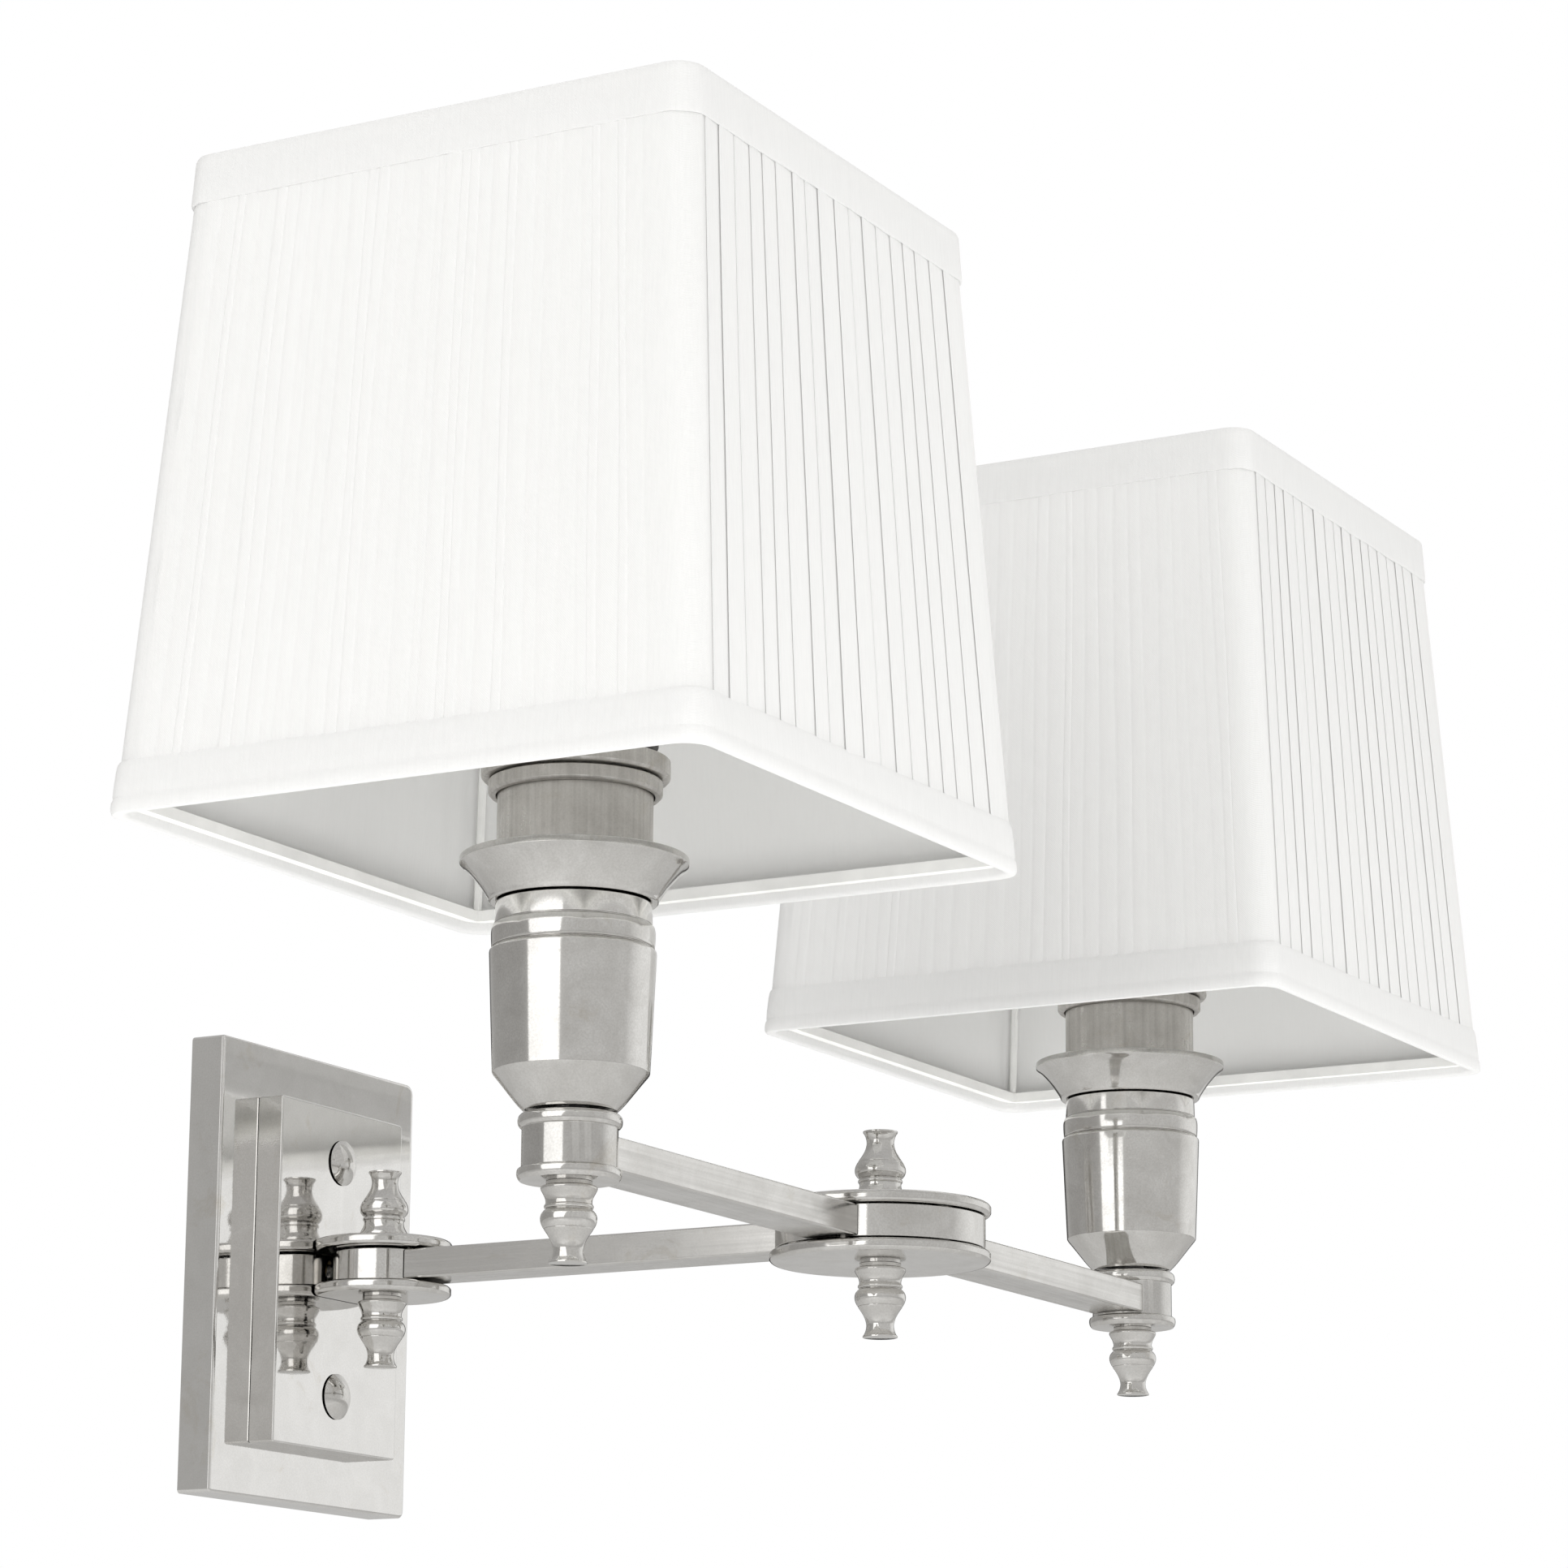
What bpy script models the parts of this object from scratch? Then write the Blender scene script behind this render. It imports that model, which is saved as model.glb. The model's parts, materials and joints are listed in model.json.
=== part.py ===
"""Swing arm wall sconce with two shaded lamps.

The wall stands in the XZ plane at y = 0 and the lamp reaches out along -Y.
The origin is the centre of the mounting strap's back face, on the wall.
Every length below is in millimetres; the mesh helpers turn them into metres.
"""
import math

import bmesh
import bpy
from mathutils import Matrix, Vector

MM = 0.001
GAP = 0.3

# Sides on a turned piece
SMALL_TURN, LAMP_TURN, KNUCKLE_TURN = 12, 20, 28

# Wall plate, raised block and what sits behind them
PLATE_WIDTH, PLATE_HEIGHT, PLATE_DEPTH = 73.0, 95.5, 8.0
BLOCK_WIDTH, BLOCK_HEIGHT, BLOCK_DEPTH = 46.0, 73.0, 6.2
PLATE_CORNER, BLOCK_CORNER = 1.6, 1.0
PAN_WALL, PAN_BEVEL = 2.2, 0.7
STRAP_WIDTH, STRAP_HEIGHT, STRAP_DEPTH = 18.0, 62.0, 1.8
CAP_SCREW_SPACING = 50.0
CAP_SCREW_HEAD, CAP_SCREW_DOME, CAP_SCREW_SHANK = 4.85, 2.0, 1.7
WALL_SLOT_WIDTH, WALL_SLOT_HEIGHT, WALL_SLOT_LEVEL = 9.0, 4.4, 13.0
WIRE_HOLE = 3.5
TERMINAL_WIDTH, TERMINAL_HEIGHT, TERMINAL_DEPTH, TERMINAL_LEVEL = 22.0, 10.0, 5.4, -38.0
EARTH_SCREW_OUTLINE = ((0, 2.6), (1.6, 2.6), (2.6, 1.8), (2.6, 0.5), (4.0, 0.5), (4.0, 0), (0, 0))
EARTH_SCREW_LEVEL = 5.0

# Arm levels and joint axes
ARM_LEVEL = 1.5
WALL_AXIS_REACH = 11.0
WALL_AXIS_Y = -(PLATE_DEPTH + BLOCK_DEPTH + WALL_AXIS_REACH)
WALL_ARM_LENGTH = 119.4
CROSSBAR_REACH = 120.0

# Bars: flat tubes with a slot for the leads
BAR_WIDTH, BAR_HEIGHT = 11.6, 6.3
BAR_SLOT_WIDTH, BAR_SLOT_HEIGHT = 7.0, 3.4
LEAD_RADIUS = 1.2
# Half width and half height of the holes that the leads pass through
LEAD_HOLE_HALF_WIDTH, LEAD_HOLE_HALF_HEIGHT, ENTRY_HALF_WIDTH = 3.0, 1.5, 3.6

# Knuckles
ROD_RADIUS, ROD_SLACK = 2.9, 0.4
RUNNING_BORE = 3.0
FIXED_BORE = 3.2
CHEEK_INNER, CHEEK_OUTER = 3.5, 6.0
DRUM_HALF_HEIGHT = 3.2
WALL_CHEEK_RADIUS, WALL_BOSS_RADIUS = 14.6, 10.6
BOSS_ROOM_RADIUS, BOSS_HUB_RADIUS, BOSS_FLOOR = 8.6, 5.2, 1.2
MIDDLE_CHEEK_RADIUS, MIDDLE_DRUM_RADIUS, MIDDLE_DRUM_WALL = 22.3, 21.2, 2.6
MIDDLE_SLOT_HALF_ANGLE = 29.0
EYE_RADIUS = 8.5
LAND = 0.02

# Every finial: (radius, distance from the face that it screws against)
FINIAL_SOCKET = 5.0
FINIAL_OUTLINE = ((4.2, 0.0), (4.2, 0.8), (5.15, 0.85), (5.15, 1.5), (4.3, 3.2), (4.25, 4.3), (4.45, 4.8),
                  (4.1, 5.2), (5.1, 6.6), (4.95, 7.6), (4.35, 8.7), (3.1, 10.9), (2.75, 12.5), (3.5, 14.8))

# Lamp heads: heights from the arm level, outlines as (radius, height)
LAMP_DRUM_RADIUS = 8.75
LAMP_DRUM_LOW, LAMP_DRUM_HIGH = -5.7, 6.6
LAMP_DRUM_OUTLINE = ((8.0, 6.6), (8.9, 6.35), (9.4, 5.8), (9.5, 5.1), (9.4, 4.3), (9.0, 3.95), (8.75, 3.9),
                     (8.75, -3.4), (9.2, -3.45), (9.5, -3.8), (9.55, -4.6), (9.4, -5.3), (9.0, -5.7))
LAMP_DRUM_ROOM, LAMP_DRUM_ROOM_RADIUS = 2.4, 6.5
LAMP_ROD_RADIUS, LAMP_ROD_BORE = 2.9, 1.8
CUP_BASE, CUP_WALL = 7.0, 1.3
CUP_OUTSIDE = ((8.4, 7.0), (14.3, 13.8), (15.25, 36.4), (14.8, 36.9), (14.9, 40.6), (14.35, 41.2),
               (14.3, 45.1))
CUP_INSIDE = ((13.0, 45.1), (12.9, 36.0), (13.0, 14.6), (7.8, 8.3))
PAN_BASE, PAN_FLOOR = 45.4, 1.5
PAN_OUTSIDE = ((15.2, 45.4), (16.1, 46.9), (17.3, 48.7), (18.6, 50.3), (19.9, 51.6), (21.0, 52.5),
               (21.0, 53.7))
PAN_INSIDE = ((19.9, 53.7), (18.0, 51.6), (16.6, 49.8), (15.3, 47.7), (14.9, 46.9))
HOLDER_BASE, HOLDER_RADIUS, HOLDER_TOP, HOLDER_WALL = 47.2, 14.3, 71.7, 1.0
SHADE_RING_LOW, SHADE_RING_SPLIT, SHADE_RING_HIGH = 65.2, 68.2, 72.0
SHADE_RING_LOWER_RADIUS, SHADE_RING_UPPER_RADIUS, RING_BEVEL = 16.0, 17.4, 0.5
INSERT_RADIUS, SOCKET_RADIUS, INSERT_TOP = 12.3, 7.4, 81.2
SOCKET_FLOOR, CONTACT_HEIGHT, CONTACT_RADIUS = 53.7, 3.0, 2.0
COLLAR_LOW, COLLAR_HIGH, COLLAR_RADIUS = 74.7, 76.3, 15.1
NUT_LOW, NUT_HIGH, NUT_BORE = 78.5, 80.9, 12.6

# Shades: pleated cloth on a square wire frame
SHADE_BOTTOM, SHADE_TOP = 56.0, 181.0
SHADE_BOTTOM_WIDTH, SHADE_TOP_WIDTH = 123.0, 107.0
SHADE_CORNER, SHADE_CLOTH = 5.0, 1.6
WIRE_THICKNESS = 2.2
CARRIER_LOW, CARRIER_DEPTH, CARRIER_BORE, CARRIER_RADIUS = 76.6, 1.6, 12.6, 17.3

COLOURS = {
    "nickel": ((0.74, 0.73, 0.71), 1.0, 0.08),
    "satin_nickel": ((0.55, 0.53, 0.50), 1.0, 0.3),
    "zinc_steel": ((0.60, 0.60, 0.61), 1.0, 0.35),
    "brass": ((0.78, 0.62, 0.32), 1.0, 0.3),
    "black_plastic": ((0.03, 0.03, 0.03), 0.0, 0.4),
    "white_plastic": ((0.80, 0.80, 0.78), 0.0, 0.4),
    "lead_sheath": ((0.70, 0.70, 0.68), 0.0, 0.5),
    "white_wire": ((0.85, 0.85, 0.83), 0.0, 0.4),
    "cloth": ((0.93, 0.93, 0.92), 0.0, 0.9),
}


def clear_scene():
    for item in list(bpy.data.objects):
        bpy.data.objects.remove(item, do_unlink=True)


def material(piece, finish):
    colour, metallic, roughness = COLOURS[finish]
    new = bpy.data.materials.new(piece + "_" + finish)
    new.use_nodes = True
    shader = new.node_tree.nodes["Principled BSDF"]
    shader.inputs["Base Color"].default_value = (*colour, 1.0)
    shader.inputs["Metallic"].default_value = metallic
    shader.inputs["Roughness"].default_value = roughness
    return new


def anchor(name, place, parent=None):
    """An empty on a joint or lamp axis; place is in millimetres from its parent."""
    empty = bpy.data.objects.new(name, None)
    bpy.context.collection.objects.link(empty)
    empty.location = Vector(place) * MM
    empty.parent = parent
    return empty


def finish_object(name, mesh, finish, place=(0, 0, 0), parent=None, smooth=False):
    bmesh.ops.remove_doubles(mesh, verts=mesh.verts, dist=1e-4)
    bmesh.ops.recalc_face_normals(mesh, faces=mesh.faces)
    bmesh.ops.scale(mesh, vec=(MM, MM, MM), verts=mesh.verts)
    data = bpy.data.meshes.new(name)
    mesh.to_mesh(data)
    mesh.free()
    if smooth:
        data.shade_smooth()
        data.set_sharp_from_angle(angle=math.radians(35))
    piece = bpy.data.objects.new(name, data)
    bpy.context.collection.objects.link(piece)
    piece.location = Vector(place) * MM
    piece.parent = parent
    if finish:
        data.materials.append(material(name, finish))
    return piece


def combine(piece, tool, operation="DIFFERENCE"):
    """Cut or weld a piece with a guide solid that isn't part of the object."""
    tool.hide_render = True
    tool.display_type = "WIRE"
    step = piece.modifiers.new(tool.name, "BOOLEAN")
    step.operation = operation
    step.solver = "EXACT"
    step.object = tool


def arc(centre, radius, start, end, steps):
    """Points of a circular arc in the (radius, height) plane, angles in degrees."""
    points = []
    for index in range(steps + 1):
        angle = math.radians(start + (end - start) * index / steps)
        points.append((centre[0] + radius * math.cos(angle), centre[1] + radius * math.sin(angle)))
    return points


def turned(name, outline, finish, segments=24, place=(0, 0, 0), parent=None, sweep=360.0, start=0.0):
    """Turn a closed (radius, height) outline about Z; a sweep under 360 leaves a gap."""
    mesh = bmesh.new()
    full = sweep > 359.9
    columns = segments if full else segments + 1
    rows = []
    for radius, height in outline:
        if radius < 1e-6:
            rows.append([mesh.verts.new((0, 0, height))] * columns)
            continue
        row = []
        for index in range(columns):
            angle = math.radians(start + sweep * index / segments)
            row.append(mesh.verts.new((radius * math.cos(angle), radius * math.sin(angle), height)))
        rows.append(row)
    for index, row in enumerate(rows):
        following = rows[(index + 1) % len(rows)]
        for column in range(segments):
            after = (column + 1) % columns
            corners = [row[column], row[after], following[after], following[column]]
            unique = list(dict.fromkeys(corners))
            if len(unique) > 2:
                mesh.faces.new(unique)
    if not full:
        mesh.faces.new([row[0] for row in rows])
        mesh.faces.new([row[-1] for row in rows])
    return finish_object(name, mesh, finish, place, parent, smooth=True)


def block(name, low, high, finish=None, place=(0, 0, 0), parent=None):
    mesh = bmesh.new()
    bmesh.ops.create_cube(mesh, size=1.0)
    low, high = Vector(low), Vector(high)
    bmesh.ops.scale(mesh, vec=high - low, verts=mesh.verts)
    bmesh.ops.translate(mesh, vec=(low + high) / 2, verts=mesh.verts)
    return finish_object(name, mesh, finish, place, parent)


def cylinder(name, radius, low, high, axis="Z", segments=24, place=(0, 0, 0), parent=None):
    """A plain guide cylinder between two heights along an axis."""
    mesh = bmesh.new()
    bmesh.ops.create_cone(mesh, cap_ends=True, segments=segments, radius1=radius, radius2=radius,
                          depth=high - low)
    bmesh.ops.translate(mesh, vec=(0, 0, (low + high) / 2), verts=mesh.verts)
    turn = {"X": Matrix.Rotation(math.pi / 2, 3, "Y"), "Y": Matrix.Rotation(-math.pi / 2, 3, "X"),
            "Z": Matrix.Identity(3)}[axis]
    bmesh.ops.rotate(mesh, matrix=turn, verts=mesh.verts)
    return finish_object(name, mesh, None, place, parent)


def rounded_square(width, height, corner, steps=3):
    """Outline of a rounded rectangle, anticlockwise."""
    points = []
    for turn, (side_x, side_y) in enumerate(((1, 1), (-1, 1), (-1, -1), (1, -1))):
        centre = (side_x * (width / 2 - corner), side_y * (height / 2 - corner))
        points += arc(centre, corner, turn * 90, turn * 90 + 90, steps)
    return points


def lofted(name, rings, finish, place=(0, 0, 0), parent=None, closed=True):
    """Skin a list of 3D outlines of equal length; closed joins the last to the first."""
    mesh = bmesh.new()
    loops = [[mesh.verts.new(point) for point in ring] for ring in rings]
    pairs = list(zip(loops, loops[1:]))
    if closed:
        pairs.append((loops[-1], loops[0]))
    for lower, upper in pairs:
        for index in range(len(lower)):
            after = (index + 1) % len(lower)
            mesh.faces.new((lower[index], lower[after], upper[after], upper[index]))
    if not closed:
        mesh.faces.new(loops[0])
        mesh.faces.new(loops[-1])
    return finish_object(name, mesh, finish, place, parent)


def upright_outline(width, height, corner, depth):
    """A rounded rectangle standing in the XZ plane at y = -depth."""
    return [(x, -depth, z) for x, z in rounded_square(width, height, corner)]


def pan(name, width, height, back, front, corner, finish):
    """A shallow pan, open at the back, with a narrow bevel round its front."""
    inner = front - PAN_WALL
    rings = [
        upright_outline(width - 2 * PAN_WALL, height - 2 * PAN_WALL, corner * 0.6, inner),
        upright_outline(width - 2 * PAN_WALL, height - 2 * PAN_WALL, corner * 0.6, back),
        upright_outline(width, height, corner, back),
        upright_outline(width, height, corner, front - PAN_BEVEL),
        upright_outline(width - 2 * PAN_BEVEL, height - 2 * PAN_BEVEL, corner - PAN_BEVEL, front),
    ]
    return lofted(name, rings, finish, closed=False)


def lead(name, points, radius, place=(0, 0, 0), parent=None):
    """An insulated lead along a smooth run of points."""
    path = bpy.data.curves.new(name, "CURVE")
    path.dimensions = "3D"
    path.bevel_depth = radius * MM
    path.bevel_resolution = 2
    path.use_fill_caps = True
    spline = path.splines.new("POLY")
    spline.points.add(len(points) - 1)
    for target, point in zip(spline.points, points):
        target.co = (*(Vector(point) * MM), 1.0)
    piece = bpy.data.objects.new(name, path)
    bpy.context.collection.objects.link(piece)
    piece.location = Vector(place) * MM
    piece.parent = parent
    path.materials.append(material(name, "lead_sheath"))
    return piece


def bend(start, corner, end, steps=6):
    """A smooth quarter turn from start to end that leans towards corner."""
    start, corner, end = Vector(start), Vector(corner), Vector(end)
    points = []
    for index in range(steps + 1):
        t = index / steps
        points.append(start * (1 - t) ** 2 + corner * 2 * t * (1 - t) + end * t ** 2)
    return points


def wall_mount():
    """Everything that stays on the wall, apart from the knuckle."""
    screw_height = CAP_SCREW_SPACING / 2
    face = PLATE_DEPTH + BLOCK_DEPTH
    plate = pan("wall_plate", PLATE_WIDTH, PLATE_HEIGHT, 0.0, PLATE_DEPTH, PLATE_CORNER, "nickel")
    raised = pan("raised_block", BLOCK_WIDTH, BLOCK_HEIGHT, PLATE_DEPTH + GAP, face, BLOCK_CORNER, "nickel")
    wire_hole = cylinder("wire_hole_guide", WIRE_HOLE, -face - 1, 1, "Y", 16, (0, 0, ARM_LEVEL))
    strap = lofted("mounting_bracket", [upright_outline(STRAP_WIDTH, STRAP_HEIGHT, 3.0, 0.0),
                                        upright_outline(STRAP_WIDTH, STRAP_HEIGHT, 3.0, STRAP_DEPTH)],
                   "zinc_steel", closed=False)
    combine(plate, wire_hole)
    combine(raised, wire_hole)
    for side, name in ((1, "upper"), (-1, "lower")):
        hole = cylinder("screw_hole_guide_" + name, CAP_SCREW_SHANK + GAP, -face - 1, 1, "Y", 12,
                        (0, 0, side * screw_height))
        for piece in (plate, raised, strap):
            combine(piece, hole)
        across, rise = WALL_SLOT_WIDTH / 2, WALL_SLOT_HEIGHT / 2
        slot = block("wall_slot_guide_" + name, (-across, -STRAP_DEPTH - 1, -rise), (across, 1, rise),
                     place=(0, 0, side * WALL_SLOT_LEVEL))
        combine(strap, slot)
        cap_screw("cap_screw_" + name, face, side * screw_height)
    block("terminal_block", (-TERMINAL_WIDTH / 2, -TERMINAL_DEPTH, -TERMINAL_HEIGHT / 2),
          (TERMINAL_WIDTH / 2, -GAP, TERMINAL_HEIGHT / 2), "white_plastic", (0, 0, TERMINAL_LEVEL))
    earth = turned("earth_screw", list(EARTH_SCREW_OUTLINE), "brass", SMALL_TURN,
                   (0, -STRAP_DEPTH - GAP, EARTH_SCREW_LEVEL))
    earth.rotation_euler = (math.pi / 2, 0, 0)
    level, depth, edge = ARM_LEVEL, -STRAP_DEPTH - 2.0, TERMINAL_WIDTH / 2 + 5
    lead("lead_in", [(edge - 1, depth, TERMINAL_LEVEL + TERMINAL_HEIGHT / 2 + 0.4), (edge, depth, -28),
                     (edge, depth, -6)]
         + bend((edge, depth, level - 4.5), (edge, depth, level), (edge - 6, depth, level))
         + [(4.6, depth, level)]
         + bend((2.6, depth - 0.1, level), (0, depth - 0.4, level), (0, depth - 3.2, level))
         + [(0, GAP + 0.5 - face, level)], LEAD_RADIUS)


def cap_screw(name, face, height):
    """A domed screw through the block and the plate into the strap."""
    rise = CAP_SCREW_DOME
    radius = (CAP_SCREW_HEAD ** 2 + rise ** 2) / (2 * rise)
    limit = math.degrees(math.asin(CAP_SCREW_HEAD / radius))
    dome = arc((0, rise - radius), radius, 90, 90 - limit, 5)
    length = face + GAP - 0.4
    outline = [(max(r, 0.0), h) for r, h in dome]
    outline += [(CAP_SCREW_SHANK, 0), (CAP_SCREW_SHANK, -length), (0, -length)]
    outline[0] = (0.0, rise)
    screw = turned(name, outline, "nickel", SMALL_TURN, (0, -face - GAP, height))
    screw.rotation_euler = (math.pi / 2, 0, 0)


def bullnose(radius, low, high, bore, steps=4):
    """A round plate whose rim is rounded over, with a bore."""
    half = (high - low) / 2
    rim = arc((radius - half, (low + high) / 2), half, 90, -90, steps)
    return rim + [(bore, low), (bore, high)]


def finial(name, face, way, parent):
    """Turned knob that screws on the end of a rod; way is 1 above its face and -1 below it."""
    base = face + way * LAND
    socket = base + way * FINIAL_SOCKET
    outline = [(0, socket), (FIXED_BORE, socket), (FIXED_BORE, base)]
    outline += [(radius, base + way * reach) for radius, reach in FINIAL_OUTLINE]
    outline.append((0, base + way * FINIAL_OUTLINE[-1][1]))
    return turned(name, outline, "nickel", SMALL_TURN, parent=parent)


def pivot_rod(name, parent):
    """Rod that runs from one finial's socket to the other's."""
    top = CHEEK_OUTER + FINIAL_SOCKET - ROD_SLACK
    outline = [(0, top), (ROD_RADIUS, top), (ROD_RADIUS, -top), (0, -top)]
    return turned(name, outline, "zinc_steel", SMALL_TURN, parent=parent)


def cheeks(prefix, radius, parent):
    """The upper and the lower round plate of a knuckle."""
    plates = []
    for side, name in ((1, "upper"), (-1, "lower")):
        low, high = sorted((side * CHEEK_INNER, side * CHEEK_OUTER))
        plates.append(turned(prefix + name, bullnose(radius, low, high, FIXED_BORE), "nickel", KNUCKLE_TURN,
                             parent=parent))
    return plates


def wall_knuckle(hinge):
    """Two cheeks brazed to the block, with the rod and finials that clamp the boss."""
    trim = block("block_face_guide", (-20, WALL_AXIS_REACH - GAP, -12), (20, 20, 12), parent=hinge)
    for cheek in cheeks("wall_disc_", WALL_CHEEK_RADIUS, hinge):
        combine(cheek, trim)
    pivot_rod("wall_pivot_rod", hinge)
    finial("wall_finial_top", CHEEK_OUTER, 1, hinge)
    finial("wall_finial_bottom", -CHEEK_OUTER, -1, hinge)


def hollow_bar(name, low, high, parent):
    """A flat tube along X, open at both ends."""
    rings = []
    outside, inside = (BAR_WIDTH / 2, BAR_HEIGHT / 2), (BAR_SLOT_WIDTH / 2, BAR_SLOT_HEIGHT / 2)
    for (half_width, half_height), reach in ((outside, low), (outside, high), (inside, high), (inside, low)):
        rings.append([(reach, side * half_width, rise * half_height)
                      for side, rise in ((1, 1), (-1, 1), (-1, -1), (1, -1))])
    return lofted(name, rings, "nickel", parent=parent)


def wall_arm(hinge):
    """The boss that turns between the cheeks, the arm, and the eye inside the middle knuckle."""
    floor = -DRUM_HALF_HEIGHT + BOSS_FLOOR
    top = DRUM_HALF_HEIGHT
    outline = [(WALL_BOSS_RADIUS, top), (WALL_BOSS_RADIUS, -top), (RUNNING_BORE, -top), (RUNNING_BORE, top),
               (BOSS_HUB_RADIUS, top), (BOSS_HUB_RADIUS, floor), (BOSS_ROOM_RADIUS, floor),
               (BOSS_ROOM_RADIUS, top)]
    boss = turned("wall_boss", outline, "nickel", KNUCKLE_TURN, parent=hinge)
    near, far, rise = BOSS_HUB_RADIUS + 1.5, WALL_BOSS_RADIUS + 2, LEAD_HOLE_HALF_HEIGHT
    combine(boss, block("boss_lead_guide", (-LEAD_HOLE_HALF_WIDTH, -far, -rise),
                        (LEAD_HOLE_HALF_WIDTH, -near, rise), parent=hinge))
    combine(boss, block("boss_entry_guide", (-ENTRY_HALF_WIDTH, near, -rise), (ENTRY_HALF_WIDTH, far, rise),
                        parent=hinge))
    bar = hollow_bar("wall_arm", 5, WALL_ARM_LENGTH - 4, hinge)
    bar.rotation_euler = (0, 0, -math.pi / 2)
    combine(bar, cylinder("boss_seat_guide", WALL_BOSS_RADIUS + GAP, -6, 6, segments=KNUCKLE_TURN,
                          parent=hinge))
    combine(bar, cylinder("eye_seat_guide", EYE_RADIUS + GAP, -6, 6, segments=LAMP_TURN,
                          place=(0, -WALL_ARM_LENGTH, 0), parent=hinge))
    top = BAR_HEIGHT / 2
    turned("arm_eye", [(EYE_RADIUS, top), (EYE_RADIUS, -top), (RUNNING_BORE, -top), (RUNNING_BORE, top)],
           "nickel", LAMP_TURN, (0, -WALL_ARM_LENGTH, 0), hinge)
    steps = (BOSS_HUB_RADIUS + 1.6, 20, 60, 100, WALL_ARM_LENGTH - EYE_RADIUS - 1)
    lead("arm_lead", [(0, -step, 0) for step in steps], LEAD_RADIUS, parent=hinge)


def middle_knuckle(hinge):
    """Two cheeks with a slotted drum brazed between them; the wall arm swings in the slot."""
    cheeks("middle_disc_", MIDDLE_CHEEK_RADIUS, hinge)
    top = DRUM_HALF_HEIGHT
    inner = MIDDLE_DRUM_RADIUS - MIDDLE_DRUM_WALL
    outline = [(MIDDLE_DRUM_RADIUS, top), (MIDDLE_DRUM_RADIUS, -top), (inner, -top), (inner, top)]
    drum = turned("middle_drum", outline, "nickel", KNUCKLE_TURN, parent=hinge,
                  sweep=360 - 2 * MIDDLE_SLOT_HALF_ANGLE, start=90 + MIDDLE_SLOT_HALF_ANGLE)
    reach, side, rise = MIDDLE_DRUM_RADIUS + 4, LEAD_HOLE_HALF_WIDTH, LEAD_HOLE_HALF_HEIGHT
    combine(drum, block("crossbar_lead_guide", (-reach, -side, -rise), (reach, side, rise), parent=hinge))
    pivot_rod("middle_pivot_rod", hinge)
    finial("middle_finial_top", CHEEK_OUTER, 1, hinge)
    finial("middle_finial_bottom", -CHEEK_OUTER, -1, hinge)


def crossbar(hinge, side, name):
    """One half of the crossbar with its lead, from the drum to a lamp."""
    bar = hollow_bar("crossbar_" + name, 15, CROSSBAR_REACH - 4, hinge)
    bar.rotation_euler = (0, 0, 0 if side > 0 else math.pi)
    drum_seat = cylinder("drum_seat_guide_" + name, MIDDLE_DRUM_RADIUS + GAP, -6, 6, segments=KNUCKLE_TURN,
                         parent=hinge)
    lamp_seat = cylinder("lamp_seat_guide_" + name, LAMP_DRUM_RADIUS + GAP, -6, 6, segments=LAMP_TURN,
                         place=(side * CROSSBAR_REACH, 0, 0), parent=hinge)
    combine(bar, drum_seat)
    combine(bar, lamp_seat)
    steps = (MIDDLE_DRUM_RADIUS - 5, 40, 80, CROSSBAR_REACH - 4.6)
    lead("crossbar_lead_" + name, [(side * step, 0, 0) for step in steps], LEAD_RADIUS, parent=hinge)


def lamp_body(axis, side, name):
    """Drum, rod, drop finial, cup and drip pan of one lamp."""
    room, room_radius = LAMP_DRUM_ROOM, LAMP_DRUM_ROOM_RADIUS
    hollow = [(FIXED_BORE, LAMP_DRUM_LOW), (FIXED_BORE, -room), (room_radius, -room), (room_radius, room),
              (FIXED_BORE, room), (FIXED_BORE, LAMP_DRUM_HIGH)]
    drum = turned("lamp_drum_" + name, list(LAMP_DRUM_OUTLINE) + hollow, "nickel", LAMP_TURN, parent=axis)
    half, rise = LEAD_HOLE_HALF_WIDTH, LEAD_HOLE_HALF_HEIGHT
    hole = block("lamp_lead_guide_" + name, (4.5, -half, -rise), (11, half, rise), parent=axis)
    low = LAMP_DRUM_LOW - FINIAL_SOCKET + ROD_SLACK
    top = HOLDER_BASE + 4.0
    rod = turned("lamp_rod_" + name, [(LAMP_ROD_RADIUS, top), (LAMP_ROD_RADIUS, low), (LAMP_ROD_BORE, low),
                                      (LAMP_ROD_BORE, top)], "zinc_steel", SMALL_TURN, parent=axis)
    rod_hole = block("rod_lead_guide_" + name, (1.2, -1.3, -1.4), (6, 1.3, 1.4), parent=axis)
    if side > 0:
        hole.rotation_euler = rod_hole.rotation_euler = (0, 0, math.pi)
    combine(drum, hole)
    combine(rod, rod_hole)
    finial("lamp_finial_" + name, LAMP_DRUM_LOW, -1, axis)
    cup = list(CUP_OUTSIDE) + list(CUP_INSIDE) + [(FIXED_BORE, CUP_BASE + CUP_WALL), (FIXED_BORE, CUP_BASE)]
    turned("lamp_cup_" + name, cup, "nickel", LAMP_TURN, parent=axis)
    pan_outline = list(PAN_OUTSIDE) + list(PAN_INSIDE)
    pan_outline += [(FIXED_BORE, PAN_BASE + PAN_FLOOR), (FIXED_BORE, PAN_BASE)]
    turned("drip_pan_" + name, pan_outline, "nickel", LAMP_TURN, parent=axis)


def ring_outline(radius, bore, low, high):
    """A ring whose lower outer edge is bevelled."""
    return [(radius, high), (radius, low + RING_BEVEL), (radius - RING_BEVEL, low), (bore, low), (bore, high)]


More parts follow.
